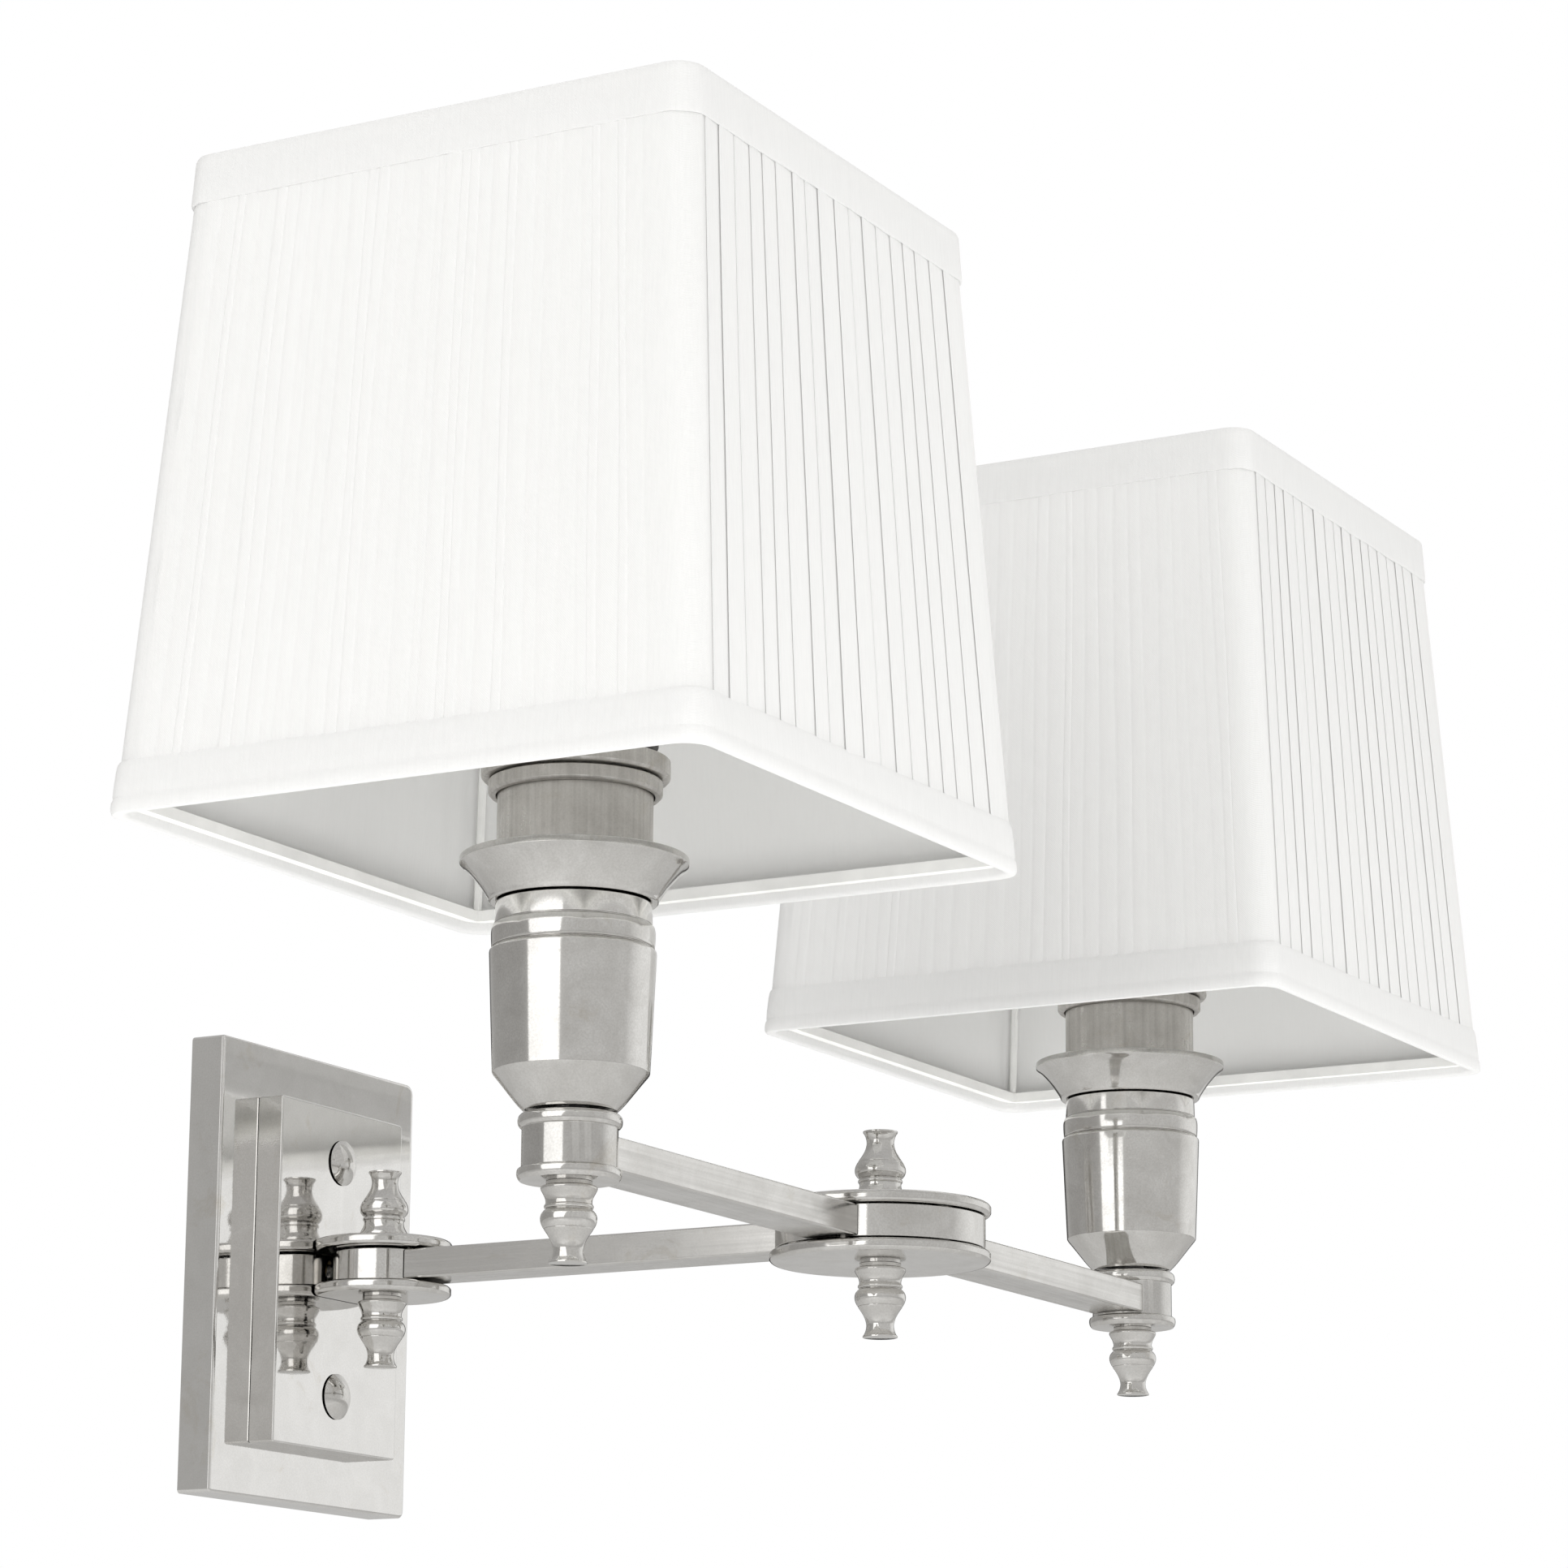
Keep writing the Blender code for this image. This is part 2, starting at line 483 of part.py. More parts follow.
def lampholder(axis, name):
    """Metal holder shell with two rings, its insulating insert, and the nut that holds the shade's ring."""
    inner = HOLDER_RADIUS - HOLDER_WALL
    base = HOLDER_BASE
    turned("holder_shell_" + name, [(HOLDER_RADIUS, HOLDER_TOP), (HOLDER_RADIUS, base), (FIXED_BORE, base),
                                    (FIXED_BORE, base + 1.2), (inner, base + 1.2), (inner, HOLDER_TOP)],
           "satin_nickel", LAMP_TURN, parent=axis)
    under = SOCKET_FLOOR - 2.0
    contact = SOCKET_FLOOR + CONTACT_HEIGHT
    insert = [(INSERT_RADIUS, INSERT_TOP), (INSERT_RADIUS, COLLAR_HIGH), (COLLAR_RADIUS, COLLAR_HIGH),
              (COLLAR_RADIUS, COLLAR_LOW), (INSERT_RADIUS, COLLAR_LOW), (INSERT_RADIUS, under), (0, under),
              (0, contact), (CONTACT_RADIUS, contact), (CONTACT_RADIUS, SOCKET_FLOOR),
              (SOCKET_RADIUS, SOCKET_FLOOR), (SOCKET_RADIUS, INSERT_TOP)]
    turned("holder_insert_" + name, insert, "black_plastic", LAMP_TURN, parent=axis)
    bore = HOLDER_RADIUS + GAP
    rings = (("shade_ring_lower_", SHADE_RING_LOWER_RADIUS, bore, SHADE_RING_LOW, SHADE_RING_SPLIT - GAP / 2,
              "satin_nickel"),
             ("shade_ring_upper_", SHADE_RING_UPPER_RADIUS, bore, SHADE_RING_SPLIT + GAP / 2, SHADE_RING_HIGH,
              "satin_nickel"),
             ("shade_nut_", COLLAR_RADIUS, NUT_BORE, NUT_LOW, NUT_HIGH, "black_plastic"))
    for piece, radius, hole, low, high, finish in rings:
        turned(piece + name, ring_outline(radius, hole, low, high), finish, LAMP_TURN, parent=axis)


def beam(name, start, end, thickness, parent, finish=None):
    """A straight six-sided wire between two points."""
    start, end = Vector(start), Vector(end)
    mesh = bmesh.new()
    bmesh.ops.create_cone(mesh, cap_ends=True, segments=6, radius1=thickness / 2, radius2=thickness / 2,
                          depth=(end - start).length)
    turn = (end - start).to_track_quat("Z", "Y").to_matrix()
    bmesh.ops.rotate(mesh, matrix=turn, verts=mesh.verts)
    bmesh.ops.translate(mesh, vec=(start + end) / 2, verts=mesh.verts)
    return finish_object(name, mesh, finish, parent=parent)


def wire_square(name, width, level, corner, parent, finish):
    """A square of wire lying flat, with a square cross section."""
    half = WIRE_THICKNESS / 2
    rings = []
    for grow, rise in ((0, half), (0, -half), (-WIRE_THICKNESS, -half), (-WIRE_THICKNESS, half)):
        outline = rounded_square(width + 2 * grow, width + 2 * grow, corner + grow, 2)
        rings.append([(x, y, level + rise) for x, y in outline])
    return lofted(name, rings, finish, parent=parent)


def shade_width(level):
    """Outer width of the cloth at a height."""
    share = (level - SHADE_BOTTOM) / (SHADE_TOP - SHADE_BOTTOM)
    return SHADE_BOTTOM_WIDTH + (SHADE_TOP_WIDTH - SHADE_BOTTOM_WIDTH) * share


def shade(axis, name):
    """The cloth shell and its welded wire frame: two squares, corner posts, and a ring on four legs."""
    inset = SHADE_CLOTH + GAP
    rings = []
    for grow, level in ((0, SHADE_BOTTOM), (0, SHADE_TOP), (-SHADE_CLOTH, SHADE_TOP),
                        (-SHADE_CLOTH, SHADE_BOTTOM)):
        width = shade_width(level) + 2 * grow
        outline = rounded_square(width, width, SHADE_CORNER + grow, 3)
        rings.append([(x, y, level) for x, y in outline])
    lofted("shade_" + name, rings, "cloth", parent=axis)

    low, high = SHADE_BOTTOM + 3.0, SHADE_TOP - 3.0
    corner = SHADE_CORNER - inset
    frame = wire_square("shade_frame_" + name, shade_width(high) - 2 * inset, high, corner, axis,
                        "white_wire")
    foot_square = wire_square("foot_guide_" + name, shade_width(low) - 2 * inset, low, corner, axis, None)
    ring_low, ring_high = CARRIER_LOW, CARRIER_LOW + CARRIER_DEPTH
    outline = [(CARRIER_RADIUS, ring_high), (CARRIER_RADIUS, ring_low), (CARRIER_BORE, ring_low),
               (CARRIER_BORE, ring_high)]
    ring = turned("carrier_ring_guide_" + name, outline, None, LAMP_TURN, parent=axis)
    middle = shade_width(high) / 2 - inset - WIRE_THICKNESS / 2
    head, foot = middle - 0.6, shade_width(low) / 2 - inset - WIRE_THICKNESS / 2 - 0.6
    guides = []
    for turn in range(4):
        angle = math.radians(90 * turn)
        along = Vector((round(math.cos(angle)), round(math.sin(angle)), 0))
        diagonal = along + Vector((-along.y, along.x, 0))
        start = along * (CARRIER_RADIUS - 0.7) + Vector((0, 0, ring_low + 0.9))
        guides.append(beam("leg_guide_{}_{}".format(name, turn), start,
                           along * middle + Vector((0, 0, high)), 2.0, axis))
        guides.append(beam("post_guide_{}_{}".format(name, turn), diagonal * foot + Vector((0, 0, low)),
                           diagonal * head + Vector((0, 0, high)), 1.8, axis))
    for guide in guides + [ring, foot_square]:
        combine(frame, guide, "UNION")


def build():
    clear_scene()
    wall_hinge = anchor("wall_hinge", (0, WALL_AXIS_Y, ARM_LEVEL))
    middle_hinge = anchor("middle_hinge", (0, -WALL_ARM_LENGTH, 0), wall_hinge)
    wall_mount()
    wall_knuckle(wall_hinge)
    wall_arm(wall_hinge)
    middle_knuckle(middle_hinge)
    for side, name in ((-1, "left"), (1, "right")):
        crossbar(middle_hinge, side, name)
        axis = anchor("lamp_axis_" + name, (side * CROSSBAR_REACH, 0, 0), middle_hinge)
        lamp_body(axis, side, name)
        lampholder(axis, name)
        shade(axis, name)
    bpy.context.view_layer.update()


build()
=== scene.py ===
"""Looks of the swing arm wall sconce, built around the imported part.

Turned metalwork, bars, plates and cap screws are rebuilt finely on the part's own places, the shades as
pleated cloth with bound edges and a lining. What is behind the plate, the rods, leads and wire frames keep
their own shapes. Lengths in outlines are in millimetres and heights are from the arm level.
"""

import json
import math

import bmesh
import bpy
import numpy as np
from mathutils import Matrix, Vector


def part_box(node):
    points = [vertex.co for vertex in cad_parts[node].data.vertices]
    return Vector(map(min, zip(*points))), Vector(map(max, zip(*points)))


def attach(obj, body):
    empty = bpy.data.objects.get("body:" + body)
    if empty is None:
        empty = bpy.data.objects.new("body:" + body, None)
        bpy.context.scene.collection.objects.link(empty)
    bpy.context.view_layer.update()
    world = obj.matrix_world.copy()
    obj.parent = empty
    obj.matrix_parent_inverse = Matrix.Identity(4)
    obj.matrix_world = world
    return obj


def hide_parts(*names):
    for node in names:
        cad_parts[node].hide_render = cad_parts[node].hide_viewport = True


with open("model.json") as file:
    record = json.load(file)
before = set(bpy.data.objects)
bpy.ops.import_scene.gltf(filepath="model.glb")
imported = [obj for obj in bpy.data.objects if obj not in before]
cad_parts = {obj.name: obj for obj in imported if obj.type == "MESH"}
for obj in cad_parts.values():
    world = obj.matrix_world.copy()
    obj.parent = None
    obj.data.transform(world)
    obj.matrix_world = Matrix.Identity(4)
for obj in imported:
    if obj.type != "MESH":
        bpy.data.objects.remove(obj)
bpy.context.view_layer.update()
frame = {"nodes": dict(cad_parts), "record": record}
NODES = frame["nodes"]
BODY_OF = {node: body for body, members in frame["record"]["behaviour"]["bodies"].items() for node in members}
SLOT_OF = {row["node"]: row["material_slot"] for row in frame["record"]["subparts"]}
MM = 0.001


# ---------------------------------------------------------------- places

def centre_of(node):
    low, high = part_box(node)
    return (low + high) / 2


def size_of(node):
    low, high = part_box(node)
    return (high - low) / MM


ARM_LEVEL = centre_of("wall_arm").z
WALL_AXIS = centre_of("wall_pivot_rod").xy
MIDDLE_AXIS = centre_of("middle_pivot_rod").xy
LAMP_AXIS = {side: centre_of("lamp_rod_" + side).xy for side in ("left", "right")}


# ---------------------------------------------------------------- materials

class Nodes:
    """A short way to write a node tree."""

    def __init__(self, tree):
        self.tree = tree

    def add(self, kind, inputs=(), **settings):
        node = self.tree.nodes.new("ShaderNode" + kind)
        for name, value in settings.items():
            setattr(node, name, value)
        for name, value in dict(inputs).items():
            if isinstance(value, bpy.types.NodeSocket):
                self.tree.links.new(value, node.inputs[name])
            else:
                node.inputs[name].default_value = value
        return node

    def position(self, scale):
        """Rest position in metres, stretched by scale on each axis."""
        place = self.add("TexCoord").outputs["Object"]
        return self.add("Mapping", {"Vector": place, "Scale": scale}).outputs["Vector"]

    def noise(self, scale, detail=3.0, roughness=0.55, distortion=0.0):
        """Noise whose lumps are about 1 / scale metres along each axis."""
        scale = scale if isinstance(scale, tuple) else (scale,) * 3
        inputs = {"Vector": self.position(scale), "Scale": 1.0, "Detail": detail, "Roughness": roughness,
                  "Distortion": distortion}
        return self.add("TexNoise", inputs).outputs["Fac"]

    def ramp(self, value, low, high, start=0.0, end=1.0):
        inputs = {"Value": value, "From Min": low, "From Max": high, "To Min": start, "To Max": end}
        return self.add("MapRange", inputs, clamp=True).outputs["Result"]

    def maths(self, operation, a, b=0.0):
        node = self.tree.nodes.new("ShaderNodeMath")
        node.operation = operation
        for socket, value in zip(node.inputs, (a, b)):
            if isinstance(value, bpy.types.NodeSocket):
                self.tree.links.new(value, socket)
            else:
                socket.default_value = value
        return node.outputs[0]

    def mix(self, factor, a, b):
        """Colour mix; a and b are colours or sockets."""
        node = self.tree.nodes.new("ShaderNodeMix")
        node.data_type = "RGBA"
        for socket, value in ((node.inputs[0], factor), (node.inputs[6], a), (node.inputs[7], b)):
            if isinstance(value, bpy.types.NodeSocket):
                self.tree.links.new(value, socket)
            else:
                socket.default_value = (*value, 1.0) if isinstance(value, tuple) else value
        return node.outputs[2]

    def bump(self, height, distance, strength=1.0, normal=None):
        inputs = {"Height": height, "Distance": distance, "Strength": strength}
        if normal is not None:
            inputs["Normal"] = normal
        return self.add("Bump", inputs).outputs["Normal"]


def new_material(name):
    """A material, its node writer and its shader."""
    made = bpy.data.materials.new(name)
    made.use_nodes = True
    return made, Nodes(made.node_tree), made.node_tree.nodes["Principled BSDF"]


def join(nodes, shader, **links):
    for name, socket in links.items():
        nodes.tree.links.new(socket, shader.inputs[name.replace("_", " ")])


def plated_metal(name, light, dark, roughness, streaks=None, haze=0.5, crevice_shade_and_tarnish=0.45, grain=0.06):
    """Plated metal with hazy patches, brown stains, fine grain, painted shade with some tarnish in its
    corners, a painted highlight on its sharp edges and a slight waviness. Streaks is the direction-stretched
    scale of brushing or turning marks."""
    made, nodes, shader = new_material(name)
    patches = nodes.noise(130.0, 5.0, 0.62, 0.6)
    fine = nodes.noise(2600.0, 2.0, 0.7)
    tone = nodes.mix(nodes.ramp(patches, 0.36, 0.7, 0.0, haze), light, dark)
    tone = nodes.mix(nodes.ramp(fine, 0.3, 0.7, 0.0, grain * 4), tone, tuple(c * 0.8 for c in dark))
    stain = nodes.ramp(nodes.noise(60.0, 6.0, 0.7, 1.2), 0.58, 0.74, 0.0, 0.4)
    tone = nodes.mix(stain, tone, (dark[0] * 0.78, dark[1] * 0.70, dark[2] * 0.55))
    edge = nodes.add("NewGeometry").outputs["Pointiness"]
    # Painted shade with some tarnish: concave corners are darkened towards near black.
    corner = nodes.ramp(edge, 0.42, 0.495, crevice_shade_and_tarnish, 0.0)
    tone = nodes.mix(corner, tone, tuple(c * 0.2 for c in dark))
    # Painted highlight: sharp convex edges are lightened towards white.
    painted_edge_highlight = nodes.ramp(edge, 0.52, 0.62, 0.0, 0.35)
    tone = nodes.mix(painted_edge_highlight, tone, (0.92, 0.91, 0.89))
    rough = nodes.ramp(patches, 0.3, 0.75, roughness * 0.65, roughness * 1.5)
    rough = nodes.maths("ADD", rough, nodes.ramp(fine, 0.35, 0.75, 0.0, roughness * 0.8))
    waves = nodes.bump(nodes.noise(95.0, 2.0, 0.5), 0.00006, 0.35)
    normal = nodes.bump(fine, 0.000004, 0.5, waves)
    if streaks:
        lines = nodes.noise(streaks, 3.0, 0.6)
        tone = nodes.mix(nodes.ramp(lines, 0.35, 0.68, 0.0, 0.4), tone, tuple(c * 0.72 for c in dark))
        rough = nodes.maths("ADD", rough, nodes.ramp(lines, 0.3, 0.7, 0.0, roughness * 0.7))
        normal = nodes.bump(lines, 0.000012, 0.6, normal)
    shader.inputs["Metallic"].default_value = 1.0
    join(nodes, shader, Base_Color=tone, Roughness=rough, Normal=normal)
    return made


def moulded(name, colour, roughness, lump=900.0):
    """Moulded plastic or sheath: a faint skin texture, with painted shade in its corners."""
    made, nodes, shader = new_material(name)
    cloud = nodes.noise(90.0, 4.0)
    skin = nodes.noise(lump, 3.0)
    tone = nodes.mix(nodes.ramp(cloud, 0.35, 0.7), colour, tuple(min(1.0, c * 1.12 + 0.01) for c in colour))
    edge = nodes.add("NewGeometry").outputs["Pointiness"]
    # Painted shade: concave corners are darkened.
    tone = nodes.mix(nodes.ramp(edge, 0.41, 0.49, 0.4, 0.0), tone, tuple(c * 0.55 for c in colour))
    rough = nodes.ramp(skin, 0.3, 0.7, roughness * 0.85, roughness * 1.2)
    join(nodes, shader, Base_Color=tone, Roughness=rough, Normal=nodes.bump(skin, 0.00002, 0.5))
    return made


def cloth(name, colour, thread=0.00042, weave=0.5, shade=0.93, glow=0.25):
    """White cotton: plain weave that follows the upright faces, with faint slubs; some light comes through,
    and what is tucked into a fold gets painted shade."""
    made, nodes, shader = new_material(name)
    place = nodes.add("SeparateXYZ", {"Vector": nodes.add("TexCoord").outputs["Object"]})
    across = nodes.maths("ADD", place.outputs["X"], place.outputs["Y"])
    wobble = nodes.ramp(nodes.noise(300.0, 2.0), 0.0, 1.0, -0.5, 0.5)
    turn = 2 * math.pi / thread
    warp = nodes.maths("SINE", nodes.maths("ADD", nodes.maths("MULTIPLY", across, turn), wobble))
    weft = nodes.maths("SINE", nodes.maths("ADD", nodes.maths("MULTIPLY", place.outputs["Z"], turn), wobble))
    woven = nodes.ramp(nodes.maths("MULTIPLY", warp, weft), -1.0, 1.0)
    slub = nodes.noise((2400.0, 2400.0, 90.0), 3.0)
    tone = nodes.mix(nodes.ramp(woven, 0.0, 1.0, 0.0, 0.35), colour, tuple(c * shade for c in colour))
    tone = nodes.mix(nodes.ramp(slub, 0.4, 0.75, 0.0, 0.5), tone, tuple(c * shade for c in colour))
    # Painted shade in the folds: cloth tucked under a fold is darkened.
    fold_shade_mask = nodes.add("Attribute", attribute_name="painted_fold_shade").outputs["Fac"]
    tone = nodes.mix(nodes.maths("MULTIPLY", fold_shade_mask, 0.3), tone, tuple(c * 0.5 for c in colour))
    normal = nodes.bump(woven, 0.00005, weave)
    normal = nodes.bump(slub, 0.00006, 0.4, normal)
    shader.inputs["Specular IOR Level"].default_value = 0.2
    join(nodes, shader, Base_Color=tone, Roughness=nodes.ramp(slub, 0.3, 0.7, 0.8, 0.95), Normal=normal)
    through = nodes.add("BsdfTranslucent", {"Color": tone, "Normal": normal})
    blend = nodes.add("MixShader", {0: glow, 1: shader.outputs[0], 2: through.outputs[0]})
    nodes.tree.links.new(blend.outputs[0], nodes.tree.nodes["Material Output"].inputs["Surface"])
    return made


NICKEL_LIGHT, NICKEL_DARK = (0.80, 0.79, 0.77), (0.60, 0.585, 0.56)
SATIN_LIGHT, SATIN_DARK = (0.70, 0.68, 0.65), (0.54, 0.52, 0.49)
UPRIGHT, LEVEL = (700.0, 700.0, 14.0), (25.0, 25.0, 2600.0)
ALONG_X, ALONG_Y = (14.0, 900.0, 900.0), (900.0, 14.0, 900.0)

MATERIALS = {
    "nickel": plated_metal("turned_nickel", NICKEL_LIGHT, NICKEL_DARK, 0.075, None, 0.7, 0.85, 0.10),
    "plate": plated_metal("polished_plate", (0.82, 0.81, 0.795), (0.68, 0.67, 0.65), 0.03, None, 0.45),
    "bar_x": plated_metal("bar_nickel_x", NICKEL_LIGHT, NICKEL_DARK, 0.10, ALONG_X),
    "bar_y": plated_metal("bar_nickel_y", NICKEL_LIGHT, NICKEL_DARK, 0.10, ALONG_Y),
    "satin_nickel": plated_metal("satin_nickel_brushed", SATIN_LIGHT, SATIN_DARK, 0.24, UPRIGHT, 0.8),
    "zinc_steel": plated_metal("zinc_plated_steel", (0.62, 0.62, 0.64), (0.44, 0.45, 0.47), 0.28, LEVEL, 0.9),
    "brass": plated_metal("plain_brass", (0.80, 0.63, 0.30), (0.58, 0.42, 0.18), 0.22, LEVEL, 0.9),
    "black_plastic": moulded("black_moulding", (0.018, 0.018, 0.018), 0.42),
    "white_plastic": moulded("white_moulding", (0.78, 0.78, 0.75), 0.35),
    "lead_sheath": moulded("lead_sheathing", (0.68, 0.68, 0.65), 0.5, 1600.0),
    "white_wire": moulded("white_coated_wire", (0.84, 0.84, 0.82), 0.38, 1200.0),
    "pleated_cloth": cloth("pleated_cotton", (0.875, 0.875, 0.87)),
    "binding": cloth("binding_tape", (0.88, 0.88, 0.875), 0.0005, 0.4),
    "lining": cloth("shade_lining", (0.95, 0.95, 0.94), 0.00036, 0.3, 0.96, 0.35),
}


# ---------------------------------------------------------------- mesh helpers

def place_piece(name, mesh, node, material, body=None, weight=True):
    """Turn a bmesh in metres into a piece that stands for a node and rides on its body."""
    bmesh.ops.remove_doubles(mesh, verts=mesh.verts, dist=1e-7)
    bmesh.ops.recalc_face_normals(mesh, faces=mesh.faces)
    data = bpy.data.meshes.new(name)
    mesh.to_mesh(data)
    mesh.free()
    data.shade_smooth()
    data.set_sharp_from_angle(angle=math.radians(38))
    data.materials.append(MATERIALS[material])
    piece = bpy.data.objects.new(name, data)
    bpy.context.scene.collection.objects.link(piece)
    if weight:
        weighted = piece.modifiers.new("even_shading", "WEIGHTED_NORMAL")
        weighted.keep_sharp = True
    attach(piece, body or BODY_OF[node])
    if node:
        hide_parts(node)
    return piece


def arc(centre, radius, start, end, steps):
    turns = [math.radians(start + (end - start) * i / steps) for i in range(steps + 1)]
    return [(centre[0] + radius * math.cos(t), centre[1] + radius * math.sin(t)) for t in turns]


def flow(points, steps=5):
    """Smooth curve through points in the (radius, height) plane."""
    pts = [Vector(p) for p in points]
    pts = [2 * pts[0] - pts[1]] + pts + [2 * pts[-1] - pts[-2]]
    out = []
    for a, b, c, d in zip(pts, pts[1:], pts[2:], pts[3:]):
        for i in range(steps):
            t = i / steps
            out.append(0.5 * ((2 * b) + (c - a) * t + (2 * a - 5 * b + 4 * c - d) * t * t
                              + (3 * b - a - 3 * c + d) * t ** 3))
    out.append(pts[-2])
    return [tuple(p) for p in out]


CORNER_TURN, ROUND_STEPS = 25.0, 3


def soften(outline, size):
    """Round the corners of a closed outline that turn by CORNER_TURN degrees or more."""
    out = []
    count = len(outline)
    for i in range(count):
        before, here, after = (Vector(outline[(i + k) % count]) for k in (-1, 0, 1))
        to_before, to_after = before - here, after - here
        if min(to_before.length, to_after.length) < 1e-6 or here.x < 1e-6:
            out.append(tuple(here))
            continue
        turn = 180 - math.degrees(to_before.angle(to_after))
        if turn < CORNER_TURN:
            out.append(tuple(here))
            continue
        reach = min(size, 0.4 * to_before.length, 0.4 * to_after.length)
        start, end = here + to_before.normalized() * reach, here + to_after.normalized() * reach
        for k in range(ROUND_STEPS + 1):
            t = k / ROUND_STEPS
            out.append(tuple(start * (1 - t) ** 2 + here * 2 * t * (1 - t) + end * t * t))
    return out


def spun(outline, axis, base=ARM_LEVEL, segments=144, sweep=360.0, start=0.0):
    """Bmesh of an outline (mm) turned about an upright axis (m); a sweep under 360 leaves a gap."""
    mesh = bmesh.new()
    full = sweep > 359.9
    columns = segments if full else segments + 1
    rows = []
    for radius, height in outline:
        z = base + height * MM
        if radius < 1e-6:
            rows.append([mesh.verts.new((axis[0], axis[1], z))] * columns)
            continue
        turns = [math.radians(start + sweep * i / segments) for i in range(columns)]
        reach = radius * MM
        rows.append([mesh.verts.new((axis[0] + reach * math.cos(t), axis[1] + reach * math.sin(t), z))
                     for t in turns])
    for row, following in zip(rows, rows[1:] + rows[:1]):
        for i in range(segments):
            after = (i + 1) % columns
            corners = list(dict.fromkeys([row[i], row[after], following[after], following[i]]))
            if len(corners) > 2:
                mesh.faces.new(corners)
    if not full:
        for end in (0, -1):
            mesh.faces.new([row[end] for row in rows])
    return mesh


def turned(name, outline, node, axis, material="nickel", corner=0.14, segments=144, **more):
    return place_piece(name, spun(soften(outline, corner), axis, segments=segments, **more), node, material)


def carve(piece, low, high, sides=0, axis="Z"):
    """Cut a box, or with sides a cylinder that fills the box, out of a piece; corners in metres."""
    low, high = Vector(low), Vector(high)
    mesh = bmesh.new()
    if sides:
        bmesh.ops.create_cone(mesh, cap_ends=True, segments=sides, radius1=0.5, radius2=0.5, depth=1.0)
        if axis == "Y":
            bmesh.ops.rotate(mesh, matrix=Matrix.Rotation(math.pi / 2, 3, "X"), verts=mesh.verts)
    else:
        bmesh.ops.create_cube(mesh, size=1.0)
    bmesh.ops.scale(mesh, vec=high - low, verts=mesh.verts)
    bmesh.ops.translate(mesh, vec=(low + high) / 2, verts=mesh.verts)
    data = bpy.data.meshes.new("cutter")
    mesh.to_mesh(data)
    mesh.free()
    cutter = bpy.data.objects.new("cutter", data)
    bpy.context.scene.collection.objects.link(cutter)
    step = piece.modifiers.new("cut", "BOOLEAN")
    step.operation, step.solver, step.object = "DIFFERENCE", "EXACT", cutter
    piece.modifiers.move(len(piece.modifiers) - 1, 0)
    weighted = piece.modifiers.get("even_shading")
    if weighted:
        weighted.show_viewport = False
    bpy.context.view_layer.update()
    cut = bpy.data.meshes.new_from_object(piece.evaluated_get(bpy.context.evaluated_depsgraph_get()))
    piece.modifiers.remove(step)
    if weighted:
        weighted.show_viewport = True
    piece.data = cut
    bpy.data.objects.remove(cutter)


# ---------------------------------------------------------------- wall plate

def rounded(width, height, corner, steps=8, wear=(1.0, 1.0, 1.0, 1.0)):
    """Outline of a rounded rectangle, anticlockwise, in millimetres; wear scales each corner's radius."""
    points = []
    for turn, (sx, sy) in enumerate(((1, 1), (-1, 1), (-1, -1), (1, -1))):
        radius = corner * wear[turn]
        centre = (sx * (width / 2 - radius), sy * (height / 2 - radius))
        points += arc(centre, radius, turn * 90, turn * 90 + 90, steps)
    return points


def skin(rings, caps=True, closed=False):
    """Bmesh skinned over rings of points in metres."""
    mesh = bmesh.new()
    loops = [[mesh.verts.new(p) for p in ring] for ring in rings]
    pairs = list(zip(loops, loops[1:])) + ([(loops[-1], loops[0])] if closed else [])
    for lower, upper in pairs:
        for i in range(len(lower)):
            after = (i + 1) % len(lower)
            mesh.faces.new((lower[i], lower[after], upper[after], upper[i]))
    if caps and not closed:
        mesh.faces.new(loops[0])
        mesh.faces.new(loops[-1])
    return mesh


def pan(node, corner, ease, depth, wall, material, wear, seat=0.0):
    """A polished pan, open at the back; its front edge is eased over by ease across and depth deep.
    Seat is how far its rim beds into the gap behind it."""
    low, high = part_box(node)
    width, height = (high.x - low.x) / MM, (high.z - low.z) / MM
    middle = (low + high) / 2
    back, front = high.y, low.y

    def ring(inset, radius, y):
        y += seat * MM if y == back else 0.0
        return [(middle.x + x * MM, y, middle.z + z * MM)
                for x, z in rounded(width - 2 * inset, height - 2 * inset, radius, wear=wear)]

    rings = [ring(wall, corner * 0.5, front + wall * MM), ring(wall, corner * 0.5, back),
             ring(0.12, corner - 0.1, back), ring(0.0, corner, back - 0.12 * MM)]
    for i in range(9):
        turn = math.radians(90 * i / 8)
        inset = ease * (1 - math.cos(turn))
        rings.append(ring(inset, max(corner - inset, 0.25), front + depth * (1 - math.sin(turn)) * MM))
    return place_piece(node + "_shell", skin(rings), node, material)


SCREW_HOLE, LEAD_HOLE = 2.0, 3.5
SCREW_RISE, SCREW_SHANK = 2.0, 1.7


def wall_plate():
    plate = pan("wall_plate", 1.6, 1.0, 0.35, 2.2, "plate", (1.5, 0.5, 0.5, 1.2))
    block = pan("raised_block", 1.0, 0.5, 0.25, 2.2, "plate", (1.2, 0.5, 0.5, 1.0), 0.2)
    front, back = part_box("raised_block")[0].y - 0.002, 0.002
    for piece in (plate, block):
        for place, radius, sides in ((centre_of("cap_screw_upper"), SCREW_HOLE, 24),
                                     (centre_of("cap_screw_lower"), SCREW_HOLE, 24),
                                     (Vector((0.0, 0.0, ARM_LEVEL)), LEAD_HOLE, 32)):
            hole = radius * MM
            carve(piece, (place.x - hole, front, place.z - hole), (place.x + hole, back, place.z + hole),
                  sides, "Y")
    for node in ("cap_screw_upper", "cap_screw_lower"):
        screw(node)


